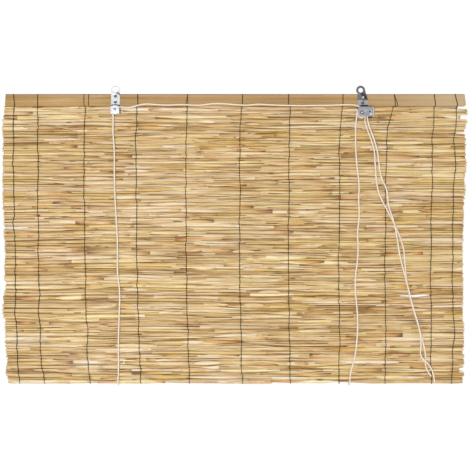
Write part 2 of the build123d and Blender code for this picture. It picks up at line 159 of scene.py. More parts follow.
def nurbs_curve(name: str, points: Sequence[Point], radius: float, resolution: int, sides: int) -> Object:
    """Make a round curve with one open NURBS spline.

    Args:
        name: Name of the curve.
        points: Control points.
        radius: Radius of its section.
        resolution: Steps between control points.
        sides: Bevel resolution of its section.

    Returns:
        The curve object.
    """
    data = bpy.data.curves.new(name, "CURVE")
    data.dimensions = "3D"
    data.bevel_depth = 1.0
    data.bevel_resolution = sides
    data.resolution_u = resolution
    data.use_fill_caps = True
    spline = data.splines.new("NURBS")
    spline.points.add(len(points) - 1)
    for place, point in zip(spline.points, points):
        place.co = (*point, 1.0)
        place.radius = radius
    spline.order_u = 3
    spline.use_endpoint_u = True
    curve = bpy.data.objects.new(name, data)
    bpy.context.collection.objects.link(curve)
    return curve


def to_mesh(obj: Object) -> Object:
    """Turn a curve into a mesh and return the object."""
    activate(obj)
    bpy.ops.object.convert(target="MESH")
    return bpy.context.view_layer.objects.active


def declare(obj: Object, node: str, body: str = "blind") -> Object:
    """Hide the CAD node that a piece stands for, and attach the piece to the body that it rides on.

    Args:
        obj: The piece.
        node: The CAD node.
        body: The body.

    Returns:
        The piece.
    """
    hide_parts(node)
    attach(obj, body)
    return obj


def cover(pieces: Iterable[Object], material: Material) -> None:
    """Make a material the only one of some pieces."""
    for piece in pieces:
        piece.data.materials.clear()
        piece.data.materials.append(material)


class NodeGraph:
    """Adds nodes to one node tree and links them."""

    def __init__(self, tree: Tree) -> None:
        """Keep the tree that the nodes go into."""
        self.tree = tree

    def feed(self, socket: Socket, value: Feed) -> None:
        """Link an output to a socket, or set the socket's own value."""
        if isinstance(value, Socket):
            self.tree.links.new(value, socket)
        else:
            socket.default_value = value

    def add(self, kind: str, feeds: Optional[dict[Union[int, str], Feed]] = None, **settings: object) -> Node:
        """Add a node.

        Args:
            kind: Blender's name for the node type.
            feeds: Values or output sockets by input name or index.
            **settings: Properties of the node.

        Returns:
            The new node.
        """
        node = self.tree.nodes.new(kind)
        for key, value in settings.items():
            setattr(node, key, value)
        for key, value in (feeds or {}).items():
            self.feed(node.inputs[key], value)
        return node

    def maths(self, operation: str, first: Feed, second: Feed = 0.0) -> Socket:
        """Add a Math node and return its result."""
        return self.add("ShaderNodeMath", {0: first, 1: second}, operation=operation).outputs[0]

    def vector(self, operation: str, first: Feed, second: Feed) -> Node:
        """Add a Vector Math node."""
        return self.add("ShaderNodeVectorMath", {0: first, 1: second}, operation=operation)

    def noise(self, place: Feed, scale: Feed, detail: float, roughness: float = 0.5) -> Socket:
        """Add a noise texture and return its value."""
        feeds = {"Vector": place, "Scale": scale, "Detail": detail, "Roughness": roughness}
        return self.add("ShaderNodeTexNoise", feeds).outputs[0]

    def mix(self, share: Feed, first: Feed, second: Feed, blend: str = "MIX") -> Socket:
        """Add a colour Mix node and return its result."""
        first, second = ((*colour, 1.0) if isinstance(colour, tuple) else colour for colour in (first, second))
        feeds = {0: share, 6: first, 7: second}
        return self.add("ShaderNodeMix", feeds, data_type="RGBA", blend_type=blend).outputs[2]

    def spread(self, value: Feed, span: Span, to_span: Span) -> Socket:
        """Map one span of values to another and return the result."""
        (low, high), (to_low, to_high) = span, to_span
        feeds = {"Value": value, "From Min": low, "From Max": high, "To Min": to_low, "To Max": to_high}
        return self.add("ShaderNodeMapRange", feeds).outputs[0]

    def step(self, value: Feed, start: float, width: float) -> Socket:
        """Rise from 0 to 1 over a width from a start."""
        return self.spread(value, (start, start + width), UNIT)

    def ramp(self, value: Feed, stops: Stops) -> Socket:
        """Add a colour ramp.

        Args:
            value: Where along the ramp to read.
            stops: Place and colour of each stop.

        Returns:
            The ramp's colour.
        """
        node = self.add("ShaderNodeValToRGB", {0: value})
        elements = node.color_ramp.elements
        while len(elements) < len(stops):
            elements.new(1.0)
        for element, (place, colour) in zip(elements, stops):
            element.position = place
            element.color = (*colour, 1.0)
        return node.outputs[0]

    def attribute(self, name: str) -> Socket:
        """Read a float attribute of the mesh."""
        return self.add("ShaderNodeAttribute", attribute_name=name).outputs["Fac"]

    def place(self, kind: str = "Object") -> Socket:
        """Read Object or UV coordinates."""
        return self.add("ShaderNodeTexCoord").outputs[kind]

    def axes(self, place: Feed) -> bpy.types.NodeOutputs:
        """Split a place into X, Y and Z."""
        return self.add("ShaderNodeSeparateXYZ", {0: place}).outputs

    def away(self, centre: Span) -> Socket:
        """Measure how far a place is from a point of the front view, given as X and Z."""
        x, _, z = self.axes(self.place())
        flat = self.add("ShaderNodeCombineXYZ", {0: x, 2: z}).outputs[0]
        return self.vector("DISTANCE", flat, (centre[0], 0.0, centre[1])).outputs["Value"]

    def group(self, tree: Tree, **feeds: Feed) -> bpy.types.NodeOutputs:
        """Add a node group with its inputs set and return its outputs."""
        node = self.add("ShaderNodeGroup", node_tree=tree)
        for key, value in feeds.items():
            self.feed(node.inputs[key], value)
        return node.outputs


@dataclass
class SurfaceEffects:
    """Shader node groups that more than one finish uses."""

    seed_jumps: Span = (61.3, 173.9)
    fine_stretch: Point = (1.7, 4.3, 4.3)
    speck_scale: float = 7.0
    patch_span: Span = (0.35, 0.65)
    speck_span: Span = (0.4, 0.7)
    fibres: Tree = field(init=False)
    mottle: Tree = field(init=False)
    braid: Tree = field(init=False)

    def __post_init__(self) -> None:
        """Build the groups."""
        self.fibres = self.build_fibres()
        self.mottle = self.build_mottle()
        self.braid = self.build_braid()

    def start(self, name: str, vector: str, values: dict[str, float], outputs: Sequence[str]) -> NodeGraph:
        """Start a group with its sockets.

        Args:
            name: Name of the group.
            vector: Name of its vector input.
            values: Name and start value of each float input.
            outputs: Names of its float outputs.

        Returns:
            The group's graph.
        """
        tree = bpy.data.node_groups.new(name, "ShaderNodeTree")
        tree.interface.new_socket(vector, in_out="INPUT", socket_type="NodeSocketVector")
        for label, value in values.items():
            socket = tree.interface.new_socket(label, in_out="INPUT", socket_type="NodeSocketFloat")
            socket.default_value = value
        for label in outputs:
            tree.interface.new_socket(label, in_out="OUTPUT", socket_type="NodeSocketFloat")
        return NodeGraph(tree)

    def build_fibres(self) -> Tree:
        """Build long plant fibres along X.

        Returns:
            A group with Broad and Fine outputs.
        """
        graph = self.start("plant_fibres", "Place", {"Seed": 0.0, "Along": 8.0, "Across": 500.0}, ("Broad", "Fine"))
        entry = graph.add("NodeGroupInput").outputs
        stretch = graph.add("ShaderNodeCombineXYZ", {0: entry["Along"], 1: entry["Across"], 2: entry["Across"]})
        scaled = graph.vector("MULTIPLY", entry["Place"], stretch.outputs[0]).outputs[0]
        jumps = (graph.maths("MULTIPLY", entry["Seed"], jump) for jump in self.seed_jumps)
        jump = graph.add("ShaderNodeCombineXYZ", dict(enumerate(jumps)))
        moved = graph.vector("ADD", scaled, jump.outputs[0]).outputs[0]
        finer = graph.vector("MULTIPLY", moved, self.fine_stretch).outputs[0]
        feeds = {"Broad": graph.noise(moved, 1.0, 2.0, 0.55), "Fine": graph.noise(finer, 1.0, 1.0)}
        graph.add("NodeGroupOutput", feeds)
        return graph.tree

    def build_mottle(self) -> Tree:
        """Build soft blotches, as of handling, dust and old plating.

        Returns:
            A group with Patch and Speck outputs.
        """
        graph = self.start("mottled_patches", "Place", {"Scale": 60.0}, ("Patch", "Speck"))
        entry = graph.add("NodeGroupInput").outputs
        patch = graph.noise(entry["Place"], entry["Scale"], 3.0)
        speck = graph.noise(entry["Place"], graph.maths("MULTIPLY", entry["Scale"], self.speck_scale), 2.0)
        feeds = {
            "Patch": graph.spread(patch, self.patch_span, UNIT),
            "Speck": graph.spread(speck, self.speck_span, UNIT),
        }
        graph.add("NodeGroupOutput", feeds)
        return graph.tree

    def build_braid(self) -> Tree:
        """Build the crossing strands of a braided cord or laid twine on a UV map.

        Returns:
            A group with a Height output.
        """
        graph = self.start("braided_strands", "Map", {"Turns": 300.0, "Strands": 4.0, "Cross": 1.0}, ("Height",))
        entry = graph.add("NodeGroupInput").outputs
        split = graph.axes(entry["Map"])
        along = graph.maths("MULTIPLY", split[0], graph.maths("MULTIPLY", entry["Turns"], math.tau))
        around = graph.maths("MULTIPLY", split[1], graph.maths("MULTIPLY", entry["Strands"], math.tau))
        right = graph.maths("SINE", graph.maths("ADD", along, around))
        left = graph.maths("SINE", graph.maths("SUBTRACT", along, around))
        crossed = graph.maths("MULTIPLY", graph.maths("MAXIMUM", right, left), entry["Cross"])
        plain = graph.maths("MULTIPLY", right, graph.maths("SUBTRACT", 1.0, entry["Cross"]))
        height = graph.maths("ADD", crossed, plain)
        graph.add("NodeGroupOutput", {"Height": graph.spread(height, (-1.0, 1.0), UNIT)})
        return graph.tree


class Paint(NodeGraph):
    """The graph of one material, with its shader and the shared effects."""

    def __init__(self, name: str, effects: SurfaceEffects) -> None:
        """Start a material with one Principled shader.

        Args:
            name: Name of the material.
            effects: The shared effects.
        """
        self.material = bpy.data.materials.new(name)
        self.material.use_nodes = True
        super().__init__(self.material.node_tree)
        self.tree.nodes.clear()
        self.effects = effects
        self.shader = self.add("ShaderNodeBsdfPrincipled")
        self.add("ShaderNodeOutputMaterial", {"Surface": self.shader.outputs[0]})

    def shade(self, feeds: dict[str, Feed]) -> None:
        """Set inputs of the shader by name."""
        for key, value in feeds.items():
            self.feed(self.shader.inputs[key], value)

    def bump(self, height: Socket, strength: float, distance: float) -> None:
        """Give the shader a bump from a height, where one stands for a distance."""
        bump = self.add("ShaderNodeBump", {"Strength": strength, "Distance": distance, "Height": height})
        self.shade({"Normal": bump.outputs[0]})

    def fibres(self, seed: Feed, along: float, across: float) -> bpy.types.NodeOutputs:
        """Add plant fibres with their stretch along and across X."""
        return self.group(self.effects.fibres, Place=self.place(), Seed=seed, Along=along, Across=across)

    def mottle(self, scale: float) -> bpy.types.NodeOutputs:
        """Add soft blotches of a scale."""
        return self.group(self.effects.mottle, Place=self.place(), Scale=scale)

    def braid(self, turns: float, strands: float, cross: float) -> Socket:
        """Add strands along the UV map and return their height."""
        feeds = {"Map": self.place("UV"), "Turns": turns, "Strands": strands, "Cross": cross}
        return self.group(self.effects.braid, **feeds)["Height"]


@dataclass(frozen=True)
class Finish:
    """The looks of one material."""

    name: str

    def coat(self, paint: Paint) -> None:
        """Set up the shader of the material, which each finish does in its own way."""
        raise NotImplementedError

    def material(self, effects: SurfaceEffects) -> Material:
        """Build the material.

        Args:
            effects: The shared effects.

        Returns:
            The material.
        """
        paint = Paint(self.name, effects)
        self.coat(paint)
        return paint.material


@dataclass(frozen=True)
class ReedFinish(Finish):
    """Dry reed surface: straw with golden and brown canes, and orange brown sheaths."""

    name: str = "dry_reed"
    cane: Stops = (
        (0.0, (0.23, 0.112, 0.029)),
        (0.2, (0.41, 0.243, 0.083)),
        (0.45, (0.57, 0.402, 0.2)),
        (0.7, (0.69, 0.53, 0.318)),
        (1.0, (0.8, 0.7, 0.53)),
    )
    sheath: Stops = (
        (0.0, (0.12, 0.05, 0.016)),
        (0.06, (0.3, 0.13, 0.04)),
        (0.3, (0.53, 0.28, 0.09)),
        (0.65, (0.6, 0.38, 0.168)),
        (1.0, (0.68, 0.5, 0.295)),
    )
    casts: Stops = (
        (0.0, (0.95, 0.965, 1.0)),
        (0.4, (0.997, 0.959, 0.93)),
        (0.72, (0.974, 0.981, 0.82)),
        (1.0, (1.0, 0.94, 0.6)),
    )
    drift: Span = (-0.25, 0.25)
    thin: Span = (-0.1, 0.1)
    sheath_drift: float = 0.9
    roughness: Span = (0.36, 0.6)

    def coat(self, paint: Paint) -> None:
        """Streak each cane or sheath along its fibres and tint it with its own cast.

        Args:
            paint: The material to coat.
        """
        fibres = paint.fibres(paint.attribute("seed"), 20.0, 360.0)
        drift = paint.spread(fibres["Broad"], NOISE, self.drift)
        streak = paint.maths("ADD", drift, paint.spread(fibres["Fine"], NOISE, self.thin))
        cane = paint.ramp(paint.maths("ADD", paint.attribute("tone"), streak), self.cane)
        faded = paint.maths("MULTIPLY", streak, self.sheath_drift)
        sheath = paint.ramp(paint.maths("ADD", paint.attribute("along"), faded), self.sheath)
        colour = paint.mix(paint.attribute("warm"), cane, sheath)
        cast = paint.ramp(paint.attribute("cast"), self.casts)
        paint.shade({
            "Base Color": paint.mix(1.0, colour, cast, "MULTIPLY"),
            "Roughness": paint.spread(fibres["Fine"], NOISE, self.roughness),
            "Specular IOR Level": 0.4,
        })
        paint.bump(fibres["Fine"], 0.35, 0.0003)


@dataclass(frozen=True)
class LathFinish(Finish):
    """Planed split bamboo: tan with fine pores and long fibres, with a greyer painted shade along its top edge."""

    name: str = "split_bamboo"
    tones: Stops = (
        (0.0, (0.25, 0.137, 0.04)),
        (0.35, (0.355, 0.206, 0.068)),
        (0.65, (0.42, 0.252, 0.091)),
        (1.0, (0.5, 0.325, 0.13)),
    )
    broad: Span = (0.15, 0.75)
    patch: Span = (-0.12, 0.16)
    fine: Span = (-0.08, 0.08)
    pale: Colour = (0.5, 0.37, 0.215)
    pale_span: Span = (0.22, 0.42)
    pale_share: float = 0.75
    top_shade: Colour = (0.34, 0.27, 0.2)
    top_shade_span: Span = (-0.0089, -0.0082)
    top_shade_share: float = 0.8

    def coat(self, paint: Paint) -> None:
        """Streak the lath, with a paler right end and painted shade along the top.

        Args:
            paint: The material to coat.
        """
        fibres = paint.fibres(0.4, 3.5, 260.0)
        patch = paint.spread(paint.mottle(7.0)["Patch"], UNIT, self.patch)
        tone = paint.maths("ADD", paint.spread(fibres["Broad"], NOISE, self.broad), patch)
        tone = paint.maths("ADD", tone, paint.spread(fibres["Fine"], NOISE, self.fine))
        x, _, z = paint.axes(paint.place())
        fade = paint.spread(x, self.pale_span, (0.0, self.pale_share))
        colour = paint.mix(fade, paint.ramp(tone, self.tones), self.pale)
        # Painted shade: the top edge of the lath is darkened towards a greyer colour.
        top_shade = paint.spread(z, self.top_shade_span, (0.0, self.top_shade_share))
        paint.shade({
            "Base Color": paint.mix(top_shade, colour, self.top_shade, "MULTIPLY"),
            "Roughness": paint.spread(fibres["Fine"], NOISE, (0.42, 0.62)),
        })
        paint.bump(fibres["Fine"], 0.25, 0.0003)


@dataclass(frozen=True)
class TwineFinish(Finish):
    """Thin laid twine, dyed dark green."""

    name: str = "green_twine"
    light: Colour = (0.085, 0.07, 0.017)
    dark: Colour = (0.02, 0.0185, 0.006)
    fading: Span = (0.45, 1.0)

    def coat(self, paint: Paint) -> None:
        """Paint shade into the hollows of the twine's lay, faded in patches.

        Args:
            paint: The material to coat.
        """
        lay = paint.braid(420.0, 2.0, 0.0)
        # Painted shade: the hollows of the lay take the dark colour and the crests the light one.
        share = paint.maths("MULTIPLY", lay, paint.spread(paint.mottle(90.0)["Patch"], UNIT, self.fading))
        paint.shade({
            "Base Color": paint.mix(share, self.dark, self.light), "Roughness": 0.85, "Specular IOR Level": 0.2,
        })
        paint.bump(lay, 0.6, 0.0003)


@dataclass(frozen=True)
class ZincFinish(Finish):
    """Zinc plated sheet with worn patches, painted reflection on its upper part and painted shade inside the pulley
    housing.
    """

    strap: Colour
    plate: Colour
    plate_front: float
    upper: Colour
    upper_reflection_from: float
    housing_shade_centre: Span
    housing_shade_reach: float
    housing_shade_foot: float
    housing_shade_right: float
    spot_shades: tuple[Point, ...]
    spot_shade: Colour
    metallic: float
    edge_highlight_from: float = 9.0
    edge_highlight: Colour = (0.9, 0.88, 0.9)
    worn: Colour = (0.3, 0.31, 0.33)
    housing_shade: Colour = (0.014, 0.015, 0.013)
    plate_span: Span = (0.0006, 0.0012)
    ragged: Span = (-0.0015, 0.0015)
    patch_wear: Span = (0.0, 0.16)
    speck_wear: Span = (0.0, 0.1)
    spot_shade_soft: float = 0.35
    roughness: Span = (0.3, 0.46)
    housing_shade_roughness: float = 0.4

    def near(self, paint: Paint, centre: Span, reach: float, soft: float) -> Socket:
        """Mask what lies within reach of a point of the front view, with a soft edge."""
        return paint.spread(paint.away(centre), (reach - soft, reach + soft), (1.0, 0.0))

    def coat(self, paint: Paint) -> None:
        """Lay the plating, its wear, the painted reflection and highlight, the painted shade spots and the housing's
        painted shade over each other.

        Args:
            paint: The material to coat.
        """
        patches = paint.mottle(140.0)
        x, y, z = paint.axes(paint.place())
        front, back = (self.plate_front + offset for offset in self.plate_span)
        ahead = paint.spread(y, (front, back), (1.0, 0.0))
        colour = paint.mix(ahead, self.strap, self.plate)
        # Painted reflection: above a ragged line the sheet takes the upper colour, light on the left bracket and dark
        # on the lock.
        height = paint.maths("ADD", z, paint.spread(patches["Patch"], UNIT, self.ragged))
        colour = paint.mix(paint.step(height, self.upper_reflection_from, 0.0016), colour, self.upper)
        wear = paint.maths("ADD", paint.spread(patches["Patch"], UNIT, self.patch_wear),
                           paint.spread(patches["Speck"], UNIT, self.speck_wear))
        colour = paint.mix(wear, colour, self.worn)
        # Painted highlight: a light band along the right edge, on the lock only.
        colour = paint.mix(paint.step(x, self.edge_highlight_from, 0.0008), colour, self.edge_highlight)
        # Painted shade: soft dark spots at the shoulders of the strap.
        for spot_shade_x, spot_shade_z, reach in self.spot_shades:
            spot_shade = self.near(paint, (spot_shade_x, spot_shade_z), reach, reach * self.spot_shade_soft)
            colour = paint.mix(spot_shade, colour, self.spot_shade)
        # Painted shade: the strap inside the pulley housing, behind the front plate, is darkened above the fold and
        # left of the right wall.
        inside = self.near(paint, self.housing_shade_centre, self.housing_shade_reach, 0.0004)
        above = paint.step(z, self.housing_shade_foot - 0.0005, 0.001)
        beside = paint.spread(x, (self.housing_shade_right - 0.0004, self.housing_shade_right + 0.0004), (1.0, 0.0))
        for mask in (above, beside, paint.maths("SUBTRACT", 1.0, ahead)):
            inside = paint.maths("MULTIPLY", inside, mask)
        rough = paint.spread(patches["Speck"], UNIT, self.roughness)
        paint.shade({
            "Base Color": paint.mix(inside, colour, self.housing_shade),
            "Metallic": self.metallic,
            "Roughness": paint.maths("ADD", rough, paint.maths("MULTIPLY", inside, self.housing_shade_roughness)),
        })
        paint.bump(patches["Speck"], 0.12, 0.0002)


@dataclass(frozen=True)
class SteelFinish(Finish):
    """Turned or drawn steel for rivets, screws, the roller and staples, which can be painted darker outside a disc
    round one point.
    """

    colour: Colour
    shade: Colour
    roughness: Span = (0.28, 0.46)
    ring_centre: Span = (0.0, 0.0)
    ring_start: float = 9.0
    ring_edge: float = 0.0005
    speck_share: Span = (0.4, 0.8)

    def coat(self, paint: Paint) -> None:
        """Mottle the steel and darken what lies outside the ring's start.

        Args:
            paint: The material to coat.
        """
        patches = paint.mottle(320.0)
        specks = paint.spread(patches["Speck"], UNIT, self.speck_share)
        share = paint.maths("MULTIPLY", patches["Patch"], specks)
        ring = paint.step(paint.away(self.ring_centre), self.ring_start, self.ring_edge)
        paint.shade({
            "Base Color": paint.mix(paint.maths("MAXIMUM", share, ring), self.colour, self.shade),
            "Metallic": 0.6,
            "Roughness": paint.spread(patches["Speck"], UNIT, self.roughness),
        })
        paint.bump(patches["Speck"], 0.1, 0.0002)


@dataclass(frozen=True)
class NylonFinish(Finish):
    """Moulded pulley plastic, off white and a little grubby."""

    name: str = "pulley_nylon"
    clean: Colour = (0.66, 0.58, 0.47)
    grubby: Colour = (0.44, 0.35, 0.25)
    grubby_share: float = 0.7

    def coat(self, paint: Paint) -> None:
        """Mottle the plastic.

        Args:
            paint: The material to coat.
        """
        patches = paint.mottle(170.0)
        share = paint.maths("MULTIPLY", patches["Patch"], self.grubby_share)
        paint.shade({
            "Base Color": paint.mix(share, self.clean, self.grubby),
            "Roughness": paint.spread(patches["Speck"], UNIT, (0.4, 0.55)),
        })
        paint.bump(patches["Speck"], 0.08, 0.0002)


@dataclass(frozen=True)
class CordFinish(Finish):
    """White braided cord, with painted shade in the hollows of its braid, which have a faint pink cast."""

    turns: float
    ridge: Colour = (0.9, 0.82, 0.69)
    hollow: Colour = (0.6, 0.47, 0.37)
    soiling: Span = (0.86, 1.0)

    def coat(self, paint: Paint) -> None:
        """Paint shade into the hollows of the braid, soiled in patches.

        Args:
            paint: The material to coat.
        """
        height = paint.braid(self.turns, 4.0, 1.0)
        soiling = paint.spread(paint.mottle(45.0)["Patch"], UNIT, self.soiling)
        # Painted shade: the hollows of the braid take the darker, pinker colour.
        share = paint.maths("MULTIPLY", paint.spread(height, (0.3, 1.0), UNIT), soiling)
        paint.shade({
            "Base Color": paint.mix(share, self.hollow, self.ridge), "Roughness": 0.8, "Sheen Weight": 0.15,
        })
        paint.bump(height, 0.5, 0.0004)


class Assembly:
    """A sub-assembly that models its pieces and then dresses them."""

    finish: Finish

    def build(self) -> dict[str, Object]:
        """Model the pieces and return them by CAD node, which each sub-assembly does in its own way."""
        raise NotImplementedError

    def dress(self, pieces: dict[str, Object], effects: SurfaceEffects) -> None:
        """Give every piece the one finish of the sub-assembly."""
        cover(pieces.values(), self.finish.material(effects))

    def assemble(self, effects: SurfaceEffects) -> None:
        """Build, dress and log every piece.

        Args:
            effects: The shared effects.
        """
        pieces = self.build()
        self.dress(pieces, effects)
        for piece in pieces.values():
            faces = len(piece.data.polygons) if piece.type == "MESH" else 0
            LOG.info("%s: %s faces", piece.name, faces)


@dataclass
class ReedRows:
    """How the reeds share the height of the mat at each place along it."""

    left: float
    right: float
    top: float
    foot: float
    middle_y: float
    count: int = 77
    stations: int = 181
    margins: Span = (0.01, 0.008)
    variation: float = 0.26
    size_step: float = 0.618
    first_row: float = 0.6
    sway: float = 0.0014
    foot_sway: float = 0.0007
    depth_sway: float = 0.9
    long_waves: Span = (0.22, 0.55)
    short_waves: Span = (0.07, 0.15)
    wave_shares: Span = (0.68, 0.32)
    swells: tuple[tuple[float, float, float, float], ...] = ((0.0011, 0.74, 0.6, 1.0), (0.0006, 0.33, -1.7, 0.0))
    flatness: float = 0.72
    least_half: float = 0.0007
    least_depth: float = 0.0012
    front_limit: float = 0.00323
    gap_x: float = 0.34555
    gap_row: int = 53
    gap_half: float = 0.0335
    gap_height: float = 0.0041
    gap_filler_share: float = 0.85
    notch_row: int = 34
    notch_stop: float = -0.404
    notch_length: float = 0.05
    notch_power: float = 0.8
    notch_height: float = 0.0056
    notch_filler_inset: float = 0.006
    left_edge: tuple[Span, ...] = (
        (0.027, -0.4555), (0.052, -0.4562), (0.07, -0.4605), (0.087, -0.4581), (0.17, -0.4585), (0.179, -0.46),
        (0.195, -0.458), (0.21, -0.4595), (0.253, -0.4562), (0.276, -0.4573), (0.302, -0.4545), (0.37, -0.4558),
        (0.378, -0.453), (0.409, -0.4578), (0.44, -0.4592), (0.448, -0.4542), (0.497, -0.4538), (0.526, -0.4497),
        (0.553, -0.4534), (0.569, -0.4465),
    )
    right_edge: tuple[Span, ...] = (
        (0.033, 0.4465), (0.052, 0.4485), (0.068, 0.446), (0.074, 0.4425), (0.115, 0.4445), (0.155, 0.4455),
        (0.172, 0.442), (0.195, 0.444), (0.215, 0.4405), (0.262, 0.44), (0.3, 0.4385), (0.4, 0.4395),
        (0.445, 0.438), (0.46, 0.4415), (0.497, 0.441), (0.511, 0.438), (0.52, 0.4415), (0.555, 0.44),
        (0.569, 0.437),
    )
    slits: tuple[tuple[int, float, float], ...] = (
        (8, 0.018, 0.0034), (13, 0.012, 0.0022), (59, 0.009, 0.003), (68, 0.008, 0.003), (73, 0.018, 0.007),
    )
    slit_power: float = 0.6
    wide_slit: float = 0.005
    wide_filler_share: float = 0.65
    filler_inset: float = 0.0015
    short: dict[int, float] = field(default_factory=lambda: {0: 0.0185, 3: 0.014, 72: 0.002})
    rag: float = 0.0016
    rag_steps: Span = (0.7549, 0.5698)
    outset: Span = (0.0027, 0.0021)
    seed: int = 11
    xs: np.ndarray = field(init=False)
    upper: np.ndarray = field(init=False)
    lower: np.ndarray = field(init=False)
    depth: np.ndarray = field(init=False)

    def __post_init__(self) -> None:
        """Work out the edges of every row along the mat."""
        rng = np.random.default_rng(self.seed)
        self.xs = np.linspace(self.left - self.margins[0], self.right + self.margins[1], self.stations)
        order = np.arange(self.count)
        sizes = 1.0 + self.variation * (2.0 * (order * self.size_step % 1.0) - 1.0)
        sizes[0] *= self.first_row
        edges = self.top - np.concatenate(([0.0], np.cumsum(sizes))) / sizes.sum() * (self.top - self.foot)
        lines = edges[:, None] + self.waves(rng, self.count + 1, self.sway)
        share = (self.top - edges[:, None]) / (self.top - self.foot)
        swell = sum(
            height * np.sin(math.tau * (self.xs / length + share * slant) + phase)
            for height, length, slant, phase in self.swells
        )
        lines = lines + np.sin(np.pi * share) * swell
        lines[0] = self.top
        lines[-1] = self.foot + np.abs(self.waves(rng, 1, self.foot_sway))[0]
        self.upper = lines[:-1].copy()
        self.lower = lines[1:].copy()
        self.part(self.gap_row, 1.0 - ((self.xs - self.gap_x) / self.gap_half) ** 2, 1.0, self.gap_height)
        notch = (self.notch_stop - self.xs) / self.notch_length
        self.part(self.notch_row, notch, self.notch_power, self.notch_height)
        for row, length, height in self.slits:
            self.part(row, (self.xs - self.right + length) / length, self.slit_power, height)
        self.depth = self.waves(rng, self.count, self.depth_sway)

    def part(self, row: int, share: np.ndarray, power: float, height: float) -> None:
        """Part a row from the one above it.

        Args:
            row: Number of the row from the top.
            share: How far the opening is open along the mat, where 1 or more is full and 0 or less is shut.
            power: Power that shapes the opening.
            height: Height of the full opening.
        """
        opening = np.clip(share, 0.0, 1.0) ** power * height / 2.0
        self.lower[row - 1] += opening
        self.upper[row] -= opening

    def waves(self, rng: np.random.Generator, count: int, height: float) -> np.ndarray:
        """Make smooth random lines along the mat.

        Args:
            rng: The random source.
            count: How many lines.
            height: The most that a line leaves its middle.

        Returns:
            One line per row of the array.
        """
        shape = (count, 1)
        lengths = [rng.uniform(*span, shape) for span in (self.long_waves, self.short_waves)]
        phases = [rng.uniform(0.0, math.tau, shape) for _ in lengths]
        long_wave, short_wave = (np.sin(math.tau * self.xs / length + phase) for length, phase in zip(lengths, phases))
        return height * (self.wave_shares[0] * long_wave + self.wave_shares[1] * short_wave)

    def section(self, row: int, x: np.ndarray) -> tuple[np.ndarray, np.ndarray, np.ndarray, np.ndarray]:
        """Give the middle and half size of a row at some places.

        Args:
            row: Number of the row from the top.
            x: Places along the mat.

        Returns:
            Middle depth, middle height, half depth and half height.
        """
        high = np.interp(x, self.xs, self.upper[row])
        low = np.interp(x, self.xs, self.lower[row])
        half = np.maximum((high - low) / 2.0, self.least_half)
        half_depth = np.clip(half * self.flatness, self.least_depth, self.front_limit)
        slack = self.front_limit - half_depth
        middle = self.middle_y + slack * np.interp(x, self.xs, self.depth[row])
        return middle, (high + low) / 2.0, half_depth, half

    def drop(self, row: int) -> float:
        """Give how far a row's middle is below the eyes."""
        return -float(np.mean(self.upper[row]) + np.mean(self.lower[row])) / 2.0

    def ends(self, row: int) -> Span:
        """Give where a row starts and stops.

        Args:
            row: Number of the row from the top.

        Returns:
            The left and right ends.
        """
        drop = self.drop(row)
        start = float(np.interp(drop, *zip(*self.left_edge))) + self.rag * (row * self.rag_steps[0] % 1.0)
        stop = float(np.interp(drop, *zip(*self.right_edge))) - self.rag * (row * self.rag_steps[1] % 1.0)
        stop -= self.short.get(row, 0.0)
        return start - self.outset[0], stop + self.outset[1]

    def calm(self, row: int) -> bool:
        """Tell whether a row keeps to its own band, at the open gaps and at the top and foot."""
        open_rows = (self.gap_row, self.notch_row, self.slits[-1][0])
        return row in (0, self.count - 1) or row in open_rows or row + 1 in open_rows

    def closed_spans(self, row: int) -> list[Span]:
        """Give the parts of a row's upper edge where the mat is closed.

        Args:
            row: Number of the row from the top.

        Returns:
            The start and stop of each part.
        """
        above, below = self.ends(row - 1), self.ends(row)
        first = max(above[0], below[0]) + self.filler_inset
        last = min(above[1], below[1]) - self.filler_inset
        if row == self.notch_row:
            first = self.notch_stop - self.notch_filler_inset
        for slit_row, length, height in self.slits:
            wide = height > self.wide_slit
            if row == slit_row or wide and abs(row - slit_row) == 1:
                last = min(last, self.right - length * (self.wide_filler_share if wide else 1.0))
        if row == self.gap_row:
            reach = self.gap_half * self.gap_filler_share
            return [(first, self.gap_x - reach), (self.gap_x + reach, last)]
        return [(first, last)]


